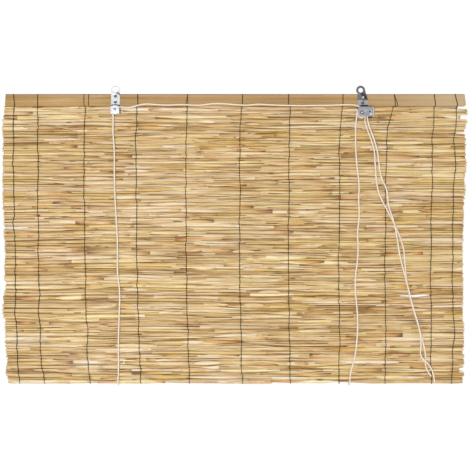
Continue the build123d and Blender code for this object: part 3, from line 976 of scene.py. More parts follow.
@dataclass
class ReedMat(Assembly):
    """The mat of dry reeds, with their sheaths, loose stalks and knuckles."""

    rows: ReedRows
    finish: ReedFinish
    split_weights: Point = (0.36, 0.5, 0.14)
    split_sizes: Span = (0.7, 1.35)
    cane_length: Point = (0.06, 0.3, 0.13)
    cane_rest: float = 0.05
    cane_overlap: Span = (0.004, 0.03)
    cane_rings: tuple[float, ...] = (0.0, 0.04, 0.28, 0.5, 0.72, 0.96, 1.0)
    cane_tips: Point = (0.3, 0.6, 0.88)
    cut_tip: float = 1.05
    tip_rounding: float = 0.8
    cane_uneven: float = 0.0014
    cane_lift: float = 0.0005
    cane_tilt: float = 0.005
    cane_growth: Span = (0.93, 1.06)
    cane_depth: Span = (0.35, 0.65)
    cane_recess: float = 0.0007
    cane_tone: Span = (0.52, 0.17)
    cane_least_tone: float = 0.22
    filler_half: float = 0.0062
    filler_half_at_gaps: float = 0.0048
    filler_length: float = 0.31
    filler_recess: float = 0.0011
    filler_depth: float = 0.0008
    filler_shade_tone: Span = (0.0, 0.18)
    filler_cast: float = 0.4
    sheath_count: int = 860
    sheath_back_share: float = 0.22
    sheath_length: Span = (0.02, 0.095)
    sheath_inset: float = 0.002
    sheath_rings: tuple[Point, Point] = ((0.0, 0.25, 1.0), (0.0, 0.12, 1.0))
    sheath_hidden_angle: float = 2.2
    sheath_hidden_reach: float = 0.6
    sheath_reach: float = 1.02
    sheath_over: float = 0.0003
    sheath_feet: Span = (0.95, 0.25)
    sheath_wide_share: float = 0.4
    sheath_outline: tuple[float, ...] = (0.0, 0.3, 0.75, 1.0)
    sheath_widths: Point = (0.8, 0.5, 0.12)
    sheath_wrap: Span = (0.45, 1.05)
    sheath_turn: float = 0.55
    sheath_lift: Span = (0.03, 0.1)
    sheath_tip_lift: float = 0.35
    sheath_warm_share: float = 0.34
    sheath_warm: Span = (0.65, 1.0)
    sheath_pale: Span = (0.0, 0.3)
    sheath_tone: Span = (0.62, 0.2)
    stalk_count: int = 480
    stalk_length: Point = (0.03, 0.19, 0.06)
    stalk_radius: Span = (0.0006, 0.0014)
    stalk_inset: float = 0.004
    stalk_outline: tuple[float, ...] = (0.0, 0.25, 0.75, 1.0)
    stalk_tips: Span = (0.35, 0.25)
    stalk_taper: Span = (0.6, 1.0)
    stalk_back_share: float = 0.25
    stalk_recess: float = 0.0012
    stalk_lift: float = 0.0012
    stalk_tilt: float = 0.007
    stalk_tone: Span = (0.68, 0.22)
    stalk_warm_share: float = 0.2
    stalk_warm: Span = (0.3, 0.9)
    knuckle_count: int = 190
    knuckle_length: Point = (0.004, 0.024, 0.006)
    knuckle_radius: Span = (0.0006, 0.0011)
    knuckle_along: Span = (0.0, 0.09)
    seed: int = 29
    pieces: list[Object] = field(default_factory=list)

    def ring_master(self, name: str, sides: int, cuts: int) -> Object:
        """Model a short stick with rings along it, to be copied.

        Args:
            name: Name of the master.
            sides: Corners of its section.
            cuts: Rings between its ends.

        Returns:
            A stick from x 0 to 1 with a radius of 1.
        """
        clear_selection()
        bpy.ops.mesh.primitive_cylinder_add(
            vertices=sides, radius=1.0, depth=1.0, location=(0.5, 0.0, 0.0), rotation=(0.0, math.pi / 2.0, 0.0)
        )
        stick = bpy.context.view_layer.objects.active
        stick.name = name
        settle(stick)
        mesh = stick.data
        bpy.ops.object.mode_set(mode="EDIT")
        bpy.ops.mesh.select_mode(type="EDGE")
        bpy.ops.mesh.select_all(action="DESELECT")
        bpy.ops.object.mode_set(mode="OBJECT")
        for edge in mesh.edges:
            start, stop = (mesh.vertices[i].co.x for i in edge.vertices)
            edge.select = abs(start - stop) > 0.5
        bpy.ops.object.mode_set(mode="EDIT")
        bpy.ops.mesh.subdivide(number_cuts=cuts)
        bpy.ops.object.mode_set(mode="OBJECT")
        for label in ("tone", "warm", "along", "seed", "cast"):
            mesh.attributes.new(label, "FLOAT", "POINT")
        soften(stick, ROUND_DEGREES)
        return stick

    def lay(self, master: Object, places: Sequence[np.ndarray], rng: random.Random, tone: float, warm: float,
            along: np.ndarray, cast: Optional[float] = None) -> None:
        """Copy a stick to its place in the mat.

        Args:
            master: The stick to copy.
            places: X, Y and Z of its corners.
            rng: The random source, for its grain and its cast.
            tone: Lightness of its cane colour.
            warm: Share of its sheath colour.
            along: Place of each corner on the sheath's colours.
            cast: Its tint, or None for a random one.
        """
        values = {"tone": tone, "warm": warm, "along": along, "seed": rng.random()}
        values["cast"] = rng.random() if cast is None else cast
        copy = bpy.data.objects.new(master.name, master.data.copy())
        bpy.context.collection.objects.link(copy)
        corners = np.stack(places, axis=1).astype(np.float32)
        copy.data.vertices.foreach_set("co", corners.ravel())
        for label, value in values.items():
            spread = np.broadcast_to(np.asarray(value, dtype=np.float32), (len(corners),))
            copy.data.attributes[label].data.foreach_set("value", np.ascontiguousarray(spread))
        self.pieces.append(copy)

    def corners(self, master: Object) -> tuple[np.ndarray, np.ndarray]:
        """Read a stick's corners as a share of its length and an angle.

        Args:
            master: The stick.

        Returns:
            The share along it and the angle round it of each corner.
        """
        flat = np.empty(len(master.data.vertices) * 3, dtype=np.float32)
        master.data.vertices.foreach_get("co", flat)
        points = flat.reshape(-1, 3)
        return points[:, 0].copy(), np.arctan2(points[:, 2], points[:, 1])

    def tone(self, rng: random.Random, spread: Span, least: float = 0.0) -> float:
        """Draw a lightness from a mean and a spread, between a least value and 1."""
        return min(1.0, max(least, rng.gauss(*spread)))

    def portions(self, row: int, rng: random.Random) -> list[Span]:
        """Share the height of a row among one, two or three canes.

        Args:
            row: Number of the row from the top.
            rng: The random source.

        Returns:
            The middle and size of each cane, as shares of the row's half height.
        """
        count = 1 if self.rows.calm(row) else rng.choices((1, 2, 3), self.split_weights)[0]
        weights = [rng.uniform(*self.split_sizes) for _ in range(count)]
        parts, used = [], 0.0
        for weight in weights:
            size = weight / sum(weights)
            parts.append((1.0 - 2.0 * used - size, size))
            used += size
        return parts

    def lay_canes(self, master: Object, rng: random.Random) -> None:
        """Fill every row with canes that overlap end to end, many of them split in two or three.

        Args:
            master: The cane to copy.
            rng: The random source.
        """
        for row in range(self.rows.count):
            start, stop = self.rows.ends(row)
            first, last = True, False
            while not last:
                end = start + rng.triangular(*self.cane_length)
                last = stop - end < self.cane_rest
                end = stop if last else end
                tips = tuple(self.cut_tip if cut else rng.choice(self.cane_tips) for cut in (first, last))
                for part in self.portions(row, rng):
                    left = start + rng.uniform(0.0, self.cane_uneven) * first
                    right = end - rng.uniform(0.0, self.cane_uneven) * last
                    self.lay_cane(master, row, (left, right), tips, part, rng)
                if not last:
                    start = end - rng.uniform(*self.cane_overlap)
                first = False

    def lay_cane(self, master: Object, row: int, span: Span, tips: Span, part: Span, rng: random.Random) -> None:
        """Lay one cane.

        Args:
            master: The cane to copy.
            row: Number of its row.
            span: Where it starts and stops.
            tips: Its size at both ends, as a share.
            part: Its middle and size within the row, as shares of the row's half height.
            rng: The random source.
        """
        share, angle = self.corners(master)
        even = np.interp(share, np.unique(np.round(share, 4)), self.cane_rings)
        x = span[0] + (span[1] - span[0]) * even
        y, z, half_depth, half = self.rows.section(row, x)
        calm = self.rows.calm(row)
        lift = 0.0 if calm else rng.gauss(0.0, self.cane_lift)
        tilt = 0.0 if calm else rng.gauss(0.0, self.cane_tilt)
        grow = 1.0 if calm else rng.uniform(*self.cane_growth)
        sizes = (tips[0] * self.tip_rounding, tips[0], 1.0, 1.0, 1.0, tips[1], tips[1] * self.tip_rounding)
        taper = np.interp(even, self.cane_rings, sizes)
        deep = half_depth * min(1.0, self.cane_depth[0] + self.cane_depth[1] * part[1]) * np.sqrt(taper)
        front = y - half_depth + rng.uniform(0.0, self.cane_recess)
        middle = z + half * part[0] + lift + tilt * (x - (span[0] + span[1]) / 2.0)
        high = half * part[1] * grow * taper
        places = (x, front + deep + deep * np.cos(angle), middle + high * np.sin(angle))
        self.lay(master, places, rng, self.tone(rng, self.cane_tone, self.cane_least_tone), 0.0, share)

    def lay_fillers(self, master: Object, rng: random.Random) -> None:
        """Lay flat canes behind the hollows between the rows; they close the gaps, and their dark tone is painted
        shade in the hollows.

        Args:
            master: The cane to copy.
            rng: The random source.
        """
        share, angle = self.corners(master)
        open_rows = (self.rows.gap_row, self.rows.notch_row, *(row for row, _, _ in self.rows.slits))
        depth = self.rows.middle_y + self.filler_recess + self.filler_depth * np.cos(angle)
        for row in range(1, self.rows.count):
            beside_gap = row - 1 in open_rows or row + 1 in open_rows
            high = self.filler_half_at_gaps if beside_gap else self.filler_half
            for first, last in self.rows.closed_spans(row):
                count = math.ceil((last - first) / self.filler_length)
                span = (last - first) / count
                for part in range(count):
                    x = first + span * (part + share)
                    z = np.interp(x, self.rows.xs, self.rows.upper[row])
                    places = (x, depth, z + high * np.sin(angle))
                    # Painted shade: the fillers take dark cane tones, so the hollows in front of them read as crease
                    # shade.
                    self.lay(master, places, rng, rng.uniform(*self.filler_shade_tone), 0.0, share, self.filler_cast)

    def lay_sheaths(self, master: Object, rng: random.Random) -> None:
        """Wrap dry leaf sheaths round the reeds, wide or narrow at the foot and pointed at the tip.

        Args:
            master: The stick to copy.
            rng: The random source.
        """
        share, angle = self.corners(master)
        rings = np.unique(np.round(share, 4))
        even = np.interp(share, rings, np.interp(rings, *self.sheath_rings))
        hidden = np.abs(angle) > self.sheath_hidden_angle
        for _ in range(self.sheath_count):
            facing = Facing.BACK if rng.random() < self.sheath_back_share else Facing.FRONT
            row = rng.randrange(self.rows.count)
            first, last = self.rows.ends(row)
            length = rng.uniform(*self.sheath_length)
            start = rng.uniform(first + self.sheath_inset, last - length - self.sheath_inset)
            x = start + length * (1.0 - even if rng.random() < 0.5 else even)
            y, z, half_depth, half = self.rows.section(row, x)
            foot = self.sheath_feet[0 if rng.random() < self.sheath_wide_share else 1]
            wide = np.interp(even, self.sheath_outline, (foot, *self.sheath_widths)) * rng.uniform(*self.sheath_wrap)
            turn = (math.pi if facing is Facing.FRONT else 0.0) + rng.gauss(0.0, self.sheath_turn)
            around = turn + angle * wide
            lift = rng.uniform(*self.sheath_lift) * np.interp(even, UNIT, (1.0, self.sheath_tip_lift))
            reach = np.where(hidden, self.sheath_hidden_reach, self.sheath_reach + lift)
            deep = np.minimum(half_depth * reach, self.rows.front_limit + self.sheath_over)
            places = (x, y + deep * np.cos(around), z + half * reach * np.sin(around))
            warm = rng.uniform(*(self.sheath_warm if rng.random() < self.sheath_warm_share else self.sheath_pale))
            self.lay(master, places, rng, self.tone(rng, self.sheath_tone), warm, even)

    def lay_stalks(self, master: Object, rng: random.Random) -> None:
        """Lay thin stalks in the hollows in front, and short dark knuckles among them.

        Args:
            master: The stick to copy.
            rng: The random source.
        """
        share, angle = self.corners(master)
        for number in range(self.stalk_count + self.knuckle_count):
            knuckle = number >= self.stalk_count
            row = rng.randrange(1, self.rows.count)
            if row in (self.rows.gap_row, self.rows.notch_row):
                continue
            first, last = self.rows.ends(row)
            length = rng.triangular(*(self.knuckle_length if knuckle else self.stalk_length))
            start = rng.uniform(first + self.stalk_inset, last - length - self.stalk_inset)
            x = start + length * share
            radius = rng.uniform(*(self.knuckle_radius if knuckle else self.stalk_radius))
            sizes = (self.stalk_tips[0], 1.0, rng.uniform(*self.stalk_taper), self.stalk_tips[1])
            thin = np.interp(share, self.stalk_outline, sizes) * radius
            side = Facing.BACK if rng.random() < self.stalk_back_share else Facing.FRONT
            inward = self.rows.front_limit - radius - rng.uniform(0.0, self.stalk_recess)
            depth = self.rows.middle_y + side.value * inward
            z = np.interp(x, self.rows.xs, self.rows.upper[row]) + rng.uniform(-self.stalk_lift, self.stalk_lift)
            z = z + rng.gauss(0.0, self.stalk_tilt) * (x - start)
            tone = self.tone(rng, self.stalk_tone)
            warm = rng.uniform(*self.stalk_warm) if rng.random() < self.stalk_warm_share else 0.0
            along = np.full_like(share, rng.uniform(*self.knuckle_along)) if knuckle else share
            places = (x, depth + thin * np.cos(angle), z + thin * np.sin(angle))
            self.lay(master, places, rng, tone, 1.0 if knuckle else warm, along)

    def build(self) -> dict[str, Object]:
        """Model the masters, copy them into place and join the mat.

        Returns:
            The mat by its CAD node.
        """
        rng = random.Random(self.seed)
        masters = [
            self.ring_master(name, sides, cuts) for name, sides, cuts in
            (("reed_cane", 7, 5), ("reed_filler", 6, 4), ("reed_sheath", 7, 3), ("reed_stalk", 5, 2))
        ]
        for lay, master in zip((self.lay_canes, self.lay_fillers, self.lay_sheaths, self.lay_stalks), masters):
            lay(master, rng)
        for master in masters:
            bpy.data.objects.remove(master)
        mat = join_pieces(self.pieces, "reed_mat_woven")
        return {"reed_mat": declare(mat, "reed_mat")}


@dataclass
class BindingTwine(Assembly):
    """Eleven columns of twine, each a pair of strands woven round the reeds and over the lath."""

    rows: ReedRows
    finish: TwineFinish
    lath_top: float
    lath_front: float
    lath_back: float
    paths: tuple[tuple[float, ...], ...] = (
        (-0.4367, -0.4396, -0.4376, -0.4391, -0.4378, -0.4389, -0.4379, -0.4389, -0.436,
         -0.4348, -0.4351, -0.4349, -0.4372, -0.4311, -0.4317, -0.4317, -0.4263),
        (-0.3914, -0.3907, -0.3922, -0.3906, -0.3899, -0.3923, -0.3913, -0.3899, -0.3904,
         -0.3891, -0.3895, -0.3883, -0.3903, -0.3855, -0.3857, -0.3841, -0.3771),
        (-0.2984, -0.3002, -0.2996, -0.3, -0.2998, -0.3008, -0.2996, -0.2998, -0.299,
         -0.298, -0.2973, -0.2976, -0.297, -0.2939, -0.2944, -0.2931, -0.2893),
        (-0.1975, -0.1978, -0.1991, -0.1989, -0.1988, -0.1993, -0.1982, -0.1988, -0.1979,
         -0.1973, -0.1961, -0.1954, -0.1955, -0.1936, -0.1932, -0.1917, -0.1898),
        (-0.1005, -0.1008, -0.1017, -0.1014, -0.1022, -0.1023, -0.1014, -0.1018, -0.1017,
         -0.1009, -0.1, -0.0998, -0.0999, -0.098, -0.0974, -0.0965, -0.095),
        (0.0074, 0.0043, 0.0035, 0.0032, 0.003, 0.004, 0.0035, 0.0031, 0.0033,
         0.0034, 0.0038, 0.0045, 0.0057, 0.0052, 0.0061, 0.0067, 0.0085),
        (0.1022, 0.0999, 0.1006, 0.0988, 0.0987, 0.0998, 0.0991, 0.0979, 0.098,
         0.0988, 0.0989, 0.0974, 0.1001, 0.099, 0.101, 0.1007, 0.1023),
        (0.2039, 0.2002, 0.1984, 0.1979, 0.1981, 0.1981, 0.1981, 0.1977, 0.1968,
         0.1962, 0.196, 0.1967, 0.1978, 0.1979, 0.1982, 0.1968, 0.1973),
        (0.3038, 0.2926, 0.2904, 0.2899, 0.2881, 0.2882, 0.2879, 0.2881, 0.2873,
         0.2872, 0.2867, 0.2879, 0.288, 0.2882, 0.2885, 0.2875, 0.2872),
        (0.3831, 0.3824, 0.3784, 0.3793, 0.3789, 0.3787, 0.3781, 0.3768, 0.377,
         0.3764, 0.3746, 0.3765, 0.377, 0.3783, 0.3775, 0.3761, 0.3782),
        (0.4257, 0.4248, 0.4211, 0.4237, 0.4238, 0.4202, 0.4201, 0.4195, 0.4188,
         0.4184, 0.4177, 0.4186, 0.4191, 0.4218, 0.4196, 0.4182, 0.4168),
    )
    over_lath: tuple[Point, ...] = (
        (-0.4378, -0.4362, -0.4362), (-0.391, -0.391, -0.391), (-0.2957, -0.3005, -0.2917),
        (-0.196, -0.1955, -0.1955), (-0.0987, -0.1016, -0.0981), (0.0086, 0.0086, 0.0086),
        (0.0985, 0.0985, 0.0985), (0.2046, 0.2046, 0.2046), (0.3052, 0.3071, 0.311), (0.383, 0.3851, 0.3851),
        (0.4239, 0.428, 0.428),
    )
    parallel: tuple[int, ...] = (3,)
    path_top: float = -0.0345
    path_step: float = 0.03315
    radius: float = 0.00064
    stand_off: float = 0.0005
    crossing: float = 0.0016
    side_step: float = 0.00015
    lean: float = 0.0004
    crest_share: float = 0.84
    face_inset: float = 0.0008
    stray_kept: float = 0.55
    stray_step: float = 0.0005
    foot_turn: float = 0.0003
    seed: int = 5

    def over(self, number: int, parity: int) -> list[Point]:
        """Give the control points of one strand up the back of the lath and down its front.

        Args:
            number: Number of the column from the left.
            parity: 0 or 1, for the strand that starts in front of or behind the first reed.

        Returns:
            The control points.
        """
        lath_x, *feet = self.over_lath[number - 1]
        foot_x = feet[parity]
        top_x = foot_x if number in self.parallel else lath_x
        front, back = self.lath_front - self.stand_off, self.lath_back + self.stand_off
        side = self.side_step if parity else -self.side_step
        head, sill = self.lath_top, self.rows.top
        route = (
            (self.paths[number - 1][0], back, sill + 0.004), (top_x, back, head - 0.006), (top_x, back, head + 0.0003),
            (top_x, front, head + 0.0003), (top_x, front, head - 0.004), (foot_x, front, sill + 0.005),
            (foot_x, front, sill + 0.0016), (foot_x, front + 0.0006, sill - 0.0004),
        )
        return [(x + side, y, z) for x, y, z in route]

    def strand(self, number: int, parity: int, rng: random.Random) -> list[Point]:
        """Give the control points of one strand from the back of the lath down to the foot.

        Args:
            number: Number of the column from the left.
            parity: 0 or 1, for the strand that starts in front of or behind the first reed.
            rng: The random source.

        Returns:
            The control points.
        """
        path = self.paths[number - 1]
        drops = [self.path_step * i - self.path_top for i in range(len(path))]
        face = self.rows.middle_y - self.rows.front_limit + self.face_inset
        points = self.over(number, parity)
        stray = 0.0
        for row in range(self.rows.count):
            x = np.interp([self.rows.drop(row)], drops, path)
            y, z, half_depth, half = (float(value[0]) for value in self.rows.section(row, x))
            stray = self.stray_kept * stray + rng.gauss(0.0, self.stray_step)
            crest = half * self.crest_share
            heights = (z + half, z + crest, z - crest)
            edge_x, high_x, low_x = (float(value) + stray for value in np.interp([-h for h in heights], drops, path))
            ahead = (row + parity) % 2 == 0
            y = min(y - half_depth, face) - self.stand_off if ahead else y + half_depth + self.stand_off
            lean = self.lean if ahead else -self.lean
            points += [
                (edge_x - lean, self.rows.middle_y - self.crossing, heights[0]),
                (high_x - lean * 0.5, y, heights[1]), (low_x + lean * 0.5, y, heights[2]),
            ]
        points.append((path[-1], self.rows.middle_y, self.rows.foot - self.foot_turn))
        return points

    def build(self) -> dict[str, Object]:
        """Model every column, with the same wander for both of its strands.

        Returns:
            The columns by CAD node, from left to right.
        """
        columns = {}
        for number in range(1, len(self.paths) + 1):
            strands = []
            for parity in (0, 1):
                points = self.strand(number, parity, random.Random(self.seed * 100 + number))
                strands.append(to_mesh(nurbs_curve(f"twine_strand_{parity}", points, self.radius, 2, 1)))
            column = join_pieces(strands, f"twine_column_{number:02d}")
            node = f"binding_thread_{number:02d}"
            columns[node] = declare(column, node)
        return columns


@dataclass(frozen=True)
class Fitting:
    """One metal or plastic piece that keeps the shape of its solid."""

    node: str
    slot: str
    finish: Finish
    edge: float = 0.0
    body: str = "blind"


# Painted reflection: this bracket's zinc is given light colours and a light upper part, with painted shade spots at
# the shoulder.
LEFT_SHEET = ZincFinish(
    "zinc_sheet_painted_light_reflection", strap=(0.75, 0.79, 0.83), plate=(0.79, 0.82, 0.87), upper=(0.8, 0.82, 0.85),
    upper_reflection_from=-0.004, plate_front=-0.0074, housing_shade_centre=(-0.239, -0.06), housing_shade_reach=0.0325,
    housing_shade_foot=-0.0455, housing_shade_right=1.0, metallic=0.35,
    spot_shades=((-0.2358, -0.0048, 0.0017), (-0.2337, -0.0058, 0.0019), (-0.2314, -0.0072, 0.0024)),
    spot_shade=(0.2, 0.21, 0.21),
)
# Painted reflection: the same zinc is given dark colours and a dark upper part here, with painted shade spots and a
# painted highlight on the right edge.
LOCK_SHEET = ZincFinish(
    "zinc_sheet_painted_dark_reflection", strap=(0.38, 0.4, 0.385), plate=(0.35, 0.345, 0.37), upper=(0.12, 0.122, 0.135),
    upper_reflection_from=-0.0205, plate_front=-0.0119, housing_shade_centre=(0.249, -0.1), housing_shade_reach=0.0715,
    housing_shade_foot=-0.06, housing_shade_right=0.2621, metallic=0.45, edge_highlight_from=0.2616,
    spot_shades=((0.243, -0.0085, 0.0036), (0.2462, -0.0125, 0.0042), (0.2515, -0.014, 0.0046)),
    spot_shade=(0.036, 0.034, 0.028),
)
DULL_STEEL: Span = (0.34, 0.52)
LEFT_RIVET = SteelFinish("rivet_dark_steel", (0.3, 0.33, 0.35), (0.1, 0.105, 0.115), DULL_STEEL)
# Painted shade: the lock's rivet is dark outside a small light centre, as the shadow round its head.
LOCK_RIVET = SteelFinish(
    "rivet_steel", (0.8, 0.81, 0.83), (0.03, 0.031, 0.034), ring_centre=(0.24, -0.045), ring_start=0.0016
)
ROLLER = SteelFinish("roller_steel", (0.82, 0.83, 0.85), (0.5, 0.5, 0.52))
# Painted highlight: the upper screw of the lock keeps the light colour and the other screws the dark one.
SCREW = SteelFinish("screw_steel", (0.55, 0.48, 0.45), (0.12, 0.12, 0.125), DULL_STEEL, (0.243, -0.0144), 0.0031)
NYLON = NylonFinish()


@dataclass
class MetalFittings(Assembly):
    """The brackets, screws, rivets, roller, staples and pulleys, taken from their solids with eased edges."""

    fittings: tuple[Fitting, ...] = (
        Fitting("left_bracket", "zinc_sheet", LEFT_SHEET, 0.00022),
        Fitting("lock_bracket", "zinc_sheet", LOCK_SHEET, 0.00022),
        Fitting("left_axle", "rivet_steel", LEFT_RIVET),
        Fitting("lock_axle", "rivet_steel", LOCK_RIVET),
        Fitting("bracket_screws", "screw_steel", SCREW, 0.0001),
        Fitting("cord_staples", "screw_steel", SCREW),
        Fitting("lock_roller", "rivet_steel", ROLLER, 0.0001, "lock_roller"),
        Fitting("left_sheave", "sheave_plastic", NYLON, 0.00015, "left_pulley"),
        Fitting("lock_sheave_rear", "sheave_plastic", NYLON, 0.00015, "lock_pulley_rear"),
        Fitting("lock_sheave_front", "sheave_plastic", NYLON, 0.00015, "lock_pulley_front"),
    )

    def build(self) -> dict[str, Object]:
        """Copy the fittings and let each ride on its body.

        Returns:
            The new pieces by CAD node.
        """
        pieces = {}
        for fitting in self.fittings:
            piece = merged_copy(fitting.node, f"{fitting.node}_finished", fitting.edge)
            pieces[fitting.node] = declare(piece, fitting.node, fitting.body)
        return pieces

    def dress(self, pieces: dict[str, Object], effects: SurfaceEffects) -> None:
        """Give every fitting its finish, with one material for each finish.

        Args:
            pieces: The fittings by CAD node.
            effects: The shared effects.
        """
        for finish in {fitting.finish.name: fitting.finish for fitting in self.fittings}.values():
            alike = [pieces[fitting.node] for fitting in self.fittings if fitting.finish is finish]
            cover(alike, finish.material(effects))


@dataclass
class HeadLath(Assembly):
    """The flat split bamboo lath across the top."""

    finish: LathFinish
    edge: float = 0.0003

    def build(self) -> dict[str, Object]:
        """Copy the lath from its solid with eased edges."""
        lath = merged_copy("head_batten", "head_lath", self.edge)
        return {"head_batten": declare(lath, "head_batten")}


@dataclass
class LiftCord(Assembly):
    """One braided lift cord with the knot that stops it behind the lath."""

    name: str
    node: str
    knot_node: str
    route: tuple[Point, ...]
    length: float
    diameter: float = 0.003
    braid_turn: float = 0.0045
    knot_braid_turns: int = 9
    knot_turns: tuple[Point, ...] = ((-0.0012, 0.16, 0.00172), (0.0012, -0.14, 0.00168), (0.0, 1.02, 0.0016))
    knot_radius: float = 0.00112

    def build_knot(self) -> Object:
        """Wind the knot as two turns round the cord and a pass across them.

        Returns:
            The knot.
        """
        low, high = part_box(self.knot_node)
        middle = (Vector(low) + Vector(high)) / 2.0
        turns = []
        for lift, tilt, wide in self.knot_turns:
            clear_selection()
            bpy.ops.mesh.primitive_torus_add(
                location=(middle.x, middle.y, middle.z + lift), rotation=(tilt, tilt * 0.5, 0.0),
                major_segments=28, minor_segments=12, major_radius=wide, minor_radius=self.knot_radius,
            )
            turn = bpy.context.view_layer.objects.active
            settle(turn)
            soften(turn, ROUND_DEGREES)
            turns.append(turn)
        return declare(join_pieces(turns, f"{self.knot_node}_tied"), self.knot_node)

    def build(self) -> dict[str, Object]:
        """Lay the cord along its route and tie its knot.

        Returns:
            The cord and the knot by CAD node.
        """
        cord = nurbs_curve(self.name, self.route, self.diameter / 2.0, 8, 3)
        knot = self.build_knot()
        declare(cord, self.node)
        return {self.node: cord, self.knot_node: knot}

    def dress(self, pieces: dict[str, Object], effects: SurfaceEffects) -> None:
        """Give the cord and its knot their braided finish.

        Args:
            pieces: The cord and the knot by CAD node.
            effects: The shared effects.
        """
        turns = {self.node: round(self.length / self.braid_turn), self.knot_node: self.knot_braid_turns}
        for node, count in turns.items():
            cover([pieces[node]], CordFinish(f"white_braid_{count}", count).material(effects))


LEFT_ROUTE: tuple[Point, ...] = (
    (-0.243, 0.0104, -0.0076), (-0.243, 0.0104, -0.0215), (-0.2426, 0.0093, -0.046), (-0.2436, 0.0092, -0.084),
    (-0.2424, 0.0093, -0.138), (-0.2438, 0.0092, -0.196), (-0.2424, 0.0093, -0.254), (-0.2434, 0.0092, -0.312),
    (-0.2416, 0.0093, -0.37), (-0.241, 0.0092, -0.426), (-0.238, 0.0093, -0.476), (-0.2366, 0.0092, -0.514),
    (-0.2349, 0.0093, -0.542), (-0.2343, 0.0092, -0.56), (-0.2344, 0.0092, -0.5746), (-0.2344, -0.0012, -0.5746),
    (-0.2336, -0.0012, -0.561), (-0.2327, -0.0013, -0.538), (-0.2333, -0.0012, -0.491), (-0.2317, -0.0013, -0.44),
    (-0.2297, -0.0012, -0.394), (-0.2356, -0.0012, -0.354), (-0.2344, -0.0013, -0.308), (-0.2363, -0.0012, -0.264),
    (-0.2394, -0.0013, -0.218), (-0.2411, -0.0012, -0.167), (-0.2406, -0.0013, -0.116), (-0.2442, -0.0015, -0.081),
    (-0.2428, -0.0028, -0.056), (-0.2436, -0.0032, -0.0426), (-0.2435, -0.0034, -0.0354), (-0.2409, -0.0034, -0.0328),
    (-0.234, -0.0033, -0.0327), (-0.226, -0.0031, -0.0331), (-0.2143, -0.0029, -0.0342), (-0.2027, -0.0026, -0.0321),
    (-0.191, -0.0025, -0.0285), (-0.1793, -0.0025, -0.0267), (-0.1605, -0.0026, -0.0282), (-0.1365, -0.0025, -0.0296),
    (-0.1075, -0.0025, -0.028), (-0.09, -0.0026, -0.0294), (-0.0735, -0.0025, -0.0297), (-0.0505, -0.0026, -0.0262),
    (-0.0275, -0.0025, -0.0264), (-0.0041, -0.0026, -0.0286), (0.0192, -0.0025, -0.03), (0.0387, -0.0025, -0.0271),
    (0.062, -0.0026, -0.029), (0.089, -0.0025, -0.0299), (0.1245, -0.0025, -0.0305), (0.1595, -0.0026, -0.0299),
    (0.183, -0.0026, -0.0296), (0.206, -0.0028, -0.0286), (0.228, -0.0032, -0.0289), (0.2405, -0.0032, -0.0347),
    (0.24755, -0.0032, -0.03796), (0.24995, -0.0032, -0.04457), (0.24892, -0.0032, -0.04843),
    (0.2461, -0.0032, -0.059), (0.25, -0.0028, -0.073), (0.2558, -0.0025, -0.088),
    (0.2652, -0.0025, -0.113), (0.267, -0.0024, -0.146), (0.269, -0.0024, -0.176), (0.2736, -0.0024, -0.202),
    (0.288, -0.0024, -0.229), (0.302, -0.0024, -0.256), (0.312, -0.0025, -0.278), (0.3234, -0.0024, -0.31),
    (0.3246, -0.0025, -0.338), (0.3284, -0.0024, -0.376), (0.338, -0.0025, -0.417), (0.352, -0.0024, -0.461),
    (0.3612, -0.0025, -0.495), (0.3653, -0.0024, -0.515), (0.3643, -0.0024, -0.532), (0.367, -0.0024, -0.545),
    (0.3758, -0.0024, -0.557),
)

RIGHT_ROUTE: tuple[Point, ...] = (
    (0.232, 0.0104, -0.0076), (0.232, 0.0104, -0.0215), (0.2324, 0.0093, -0.046), (0.231, 0.0092, -0.084),
    (0.2322, 0.0093, -0.138), (0.2312, 0.0092, -0.196), (0.233, 0.0093, -0.254), (0.2314, 0.0092, -0.312),
    (0.232, 0.0093, -0.37), (0.2296, 0.0092, -0.426), (0.2264, 0.0093, -0.476), (0.222, 0.0092, -0.514),
    (0.2186, 0.0093, -0.542), (0.2174, 0.0092, -0.56), (0.2172, 0.0092, -0.5746), (0.2172, -0.0012, -0.5746),
    (0.2178, -0.0012, -0.56), (0.221, -0.0013, -0.542), (0.2268, -0.0012, -0.525), (0.2304, -0.0012, -0.5),
    (0.233, -0.0013, -0.47), (0.2332, -0.0012, -0.442), (0.2306, -0.0013, -0.414), (0.228, -0.0012, -0.388),
    (0.2284, -0.0013, -0.361), (0.2326, -0.0012, -0.334), (0.2342, -0.0013, -0.304), (0.232, -0.0012, -0.277),
    (0.2368, -0.0013, -0.244), (0.2344, -0.0012, -0.211), (0.2366, -0.0013, -0.184), (0.2316, -0.0012, -0.152),
    (0.2292, -0.0014, -0.118), (0.2284, -0.0024, -0.086), (0.2287, -0.0058, -0.066),
    (0.2299, -0.0078, -0.054), (0.2305, -0.0081, -0.041065), (0.236065, -0.0081, -0.0355),
    (0.243935, -0.0081, -0.0355), (0.2495, -0.0081, -0.041065), (0.2502, -0.008, -0.0525),
    (0.2522, -0.0075, -0.064), (0.2564, -0.007, -0.077), (0.2618, -0.0064, -0.09), (0.271, -0.0056, -0.118),
    (0.274, -0.0046, -0.147), (0.278, -0.0046, -0.171), (0.29, -0.0054, -0.194), (0.291, -0.0059, -0.224),
    (0.303, -0.0059, -0.256), (0.309, -0.0052, -0.288), (0.315, -0.0048, -0.328), (0.3274, -0.0059, -0.372),
    (0.3376, -0.0059, -0.416), (0.3522, -0.0059, -0.462), (0.3554, -0.0058, -0.488), (0.355, -0.0057, -0.503),
    (0.3534, -0.0057, -0.514), (0.3606, -0.0059, -0.525), (0.3704, -0.0057, -0.533), (0.3784, -0.0042, -0.547),
    (0.3816, -0.0028, -0.562), (0.3832, -0.0024, -0.572),
)


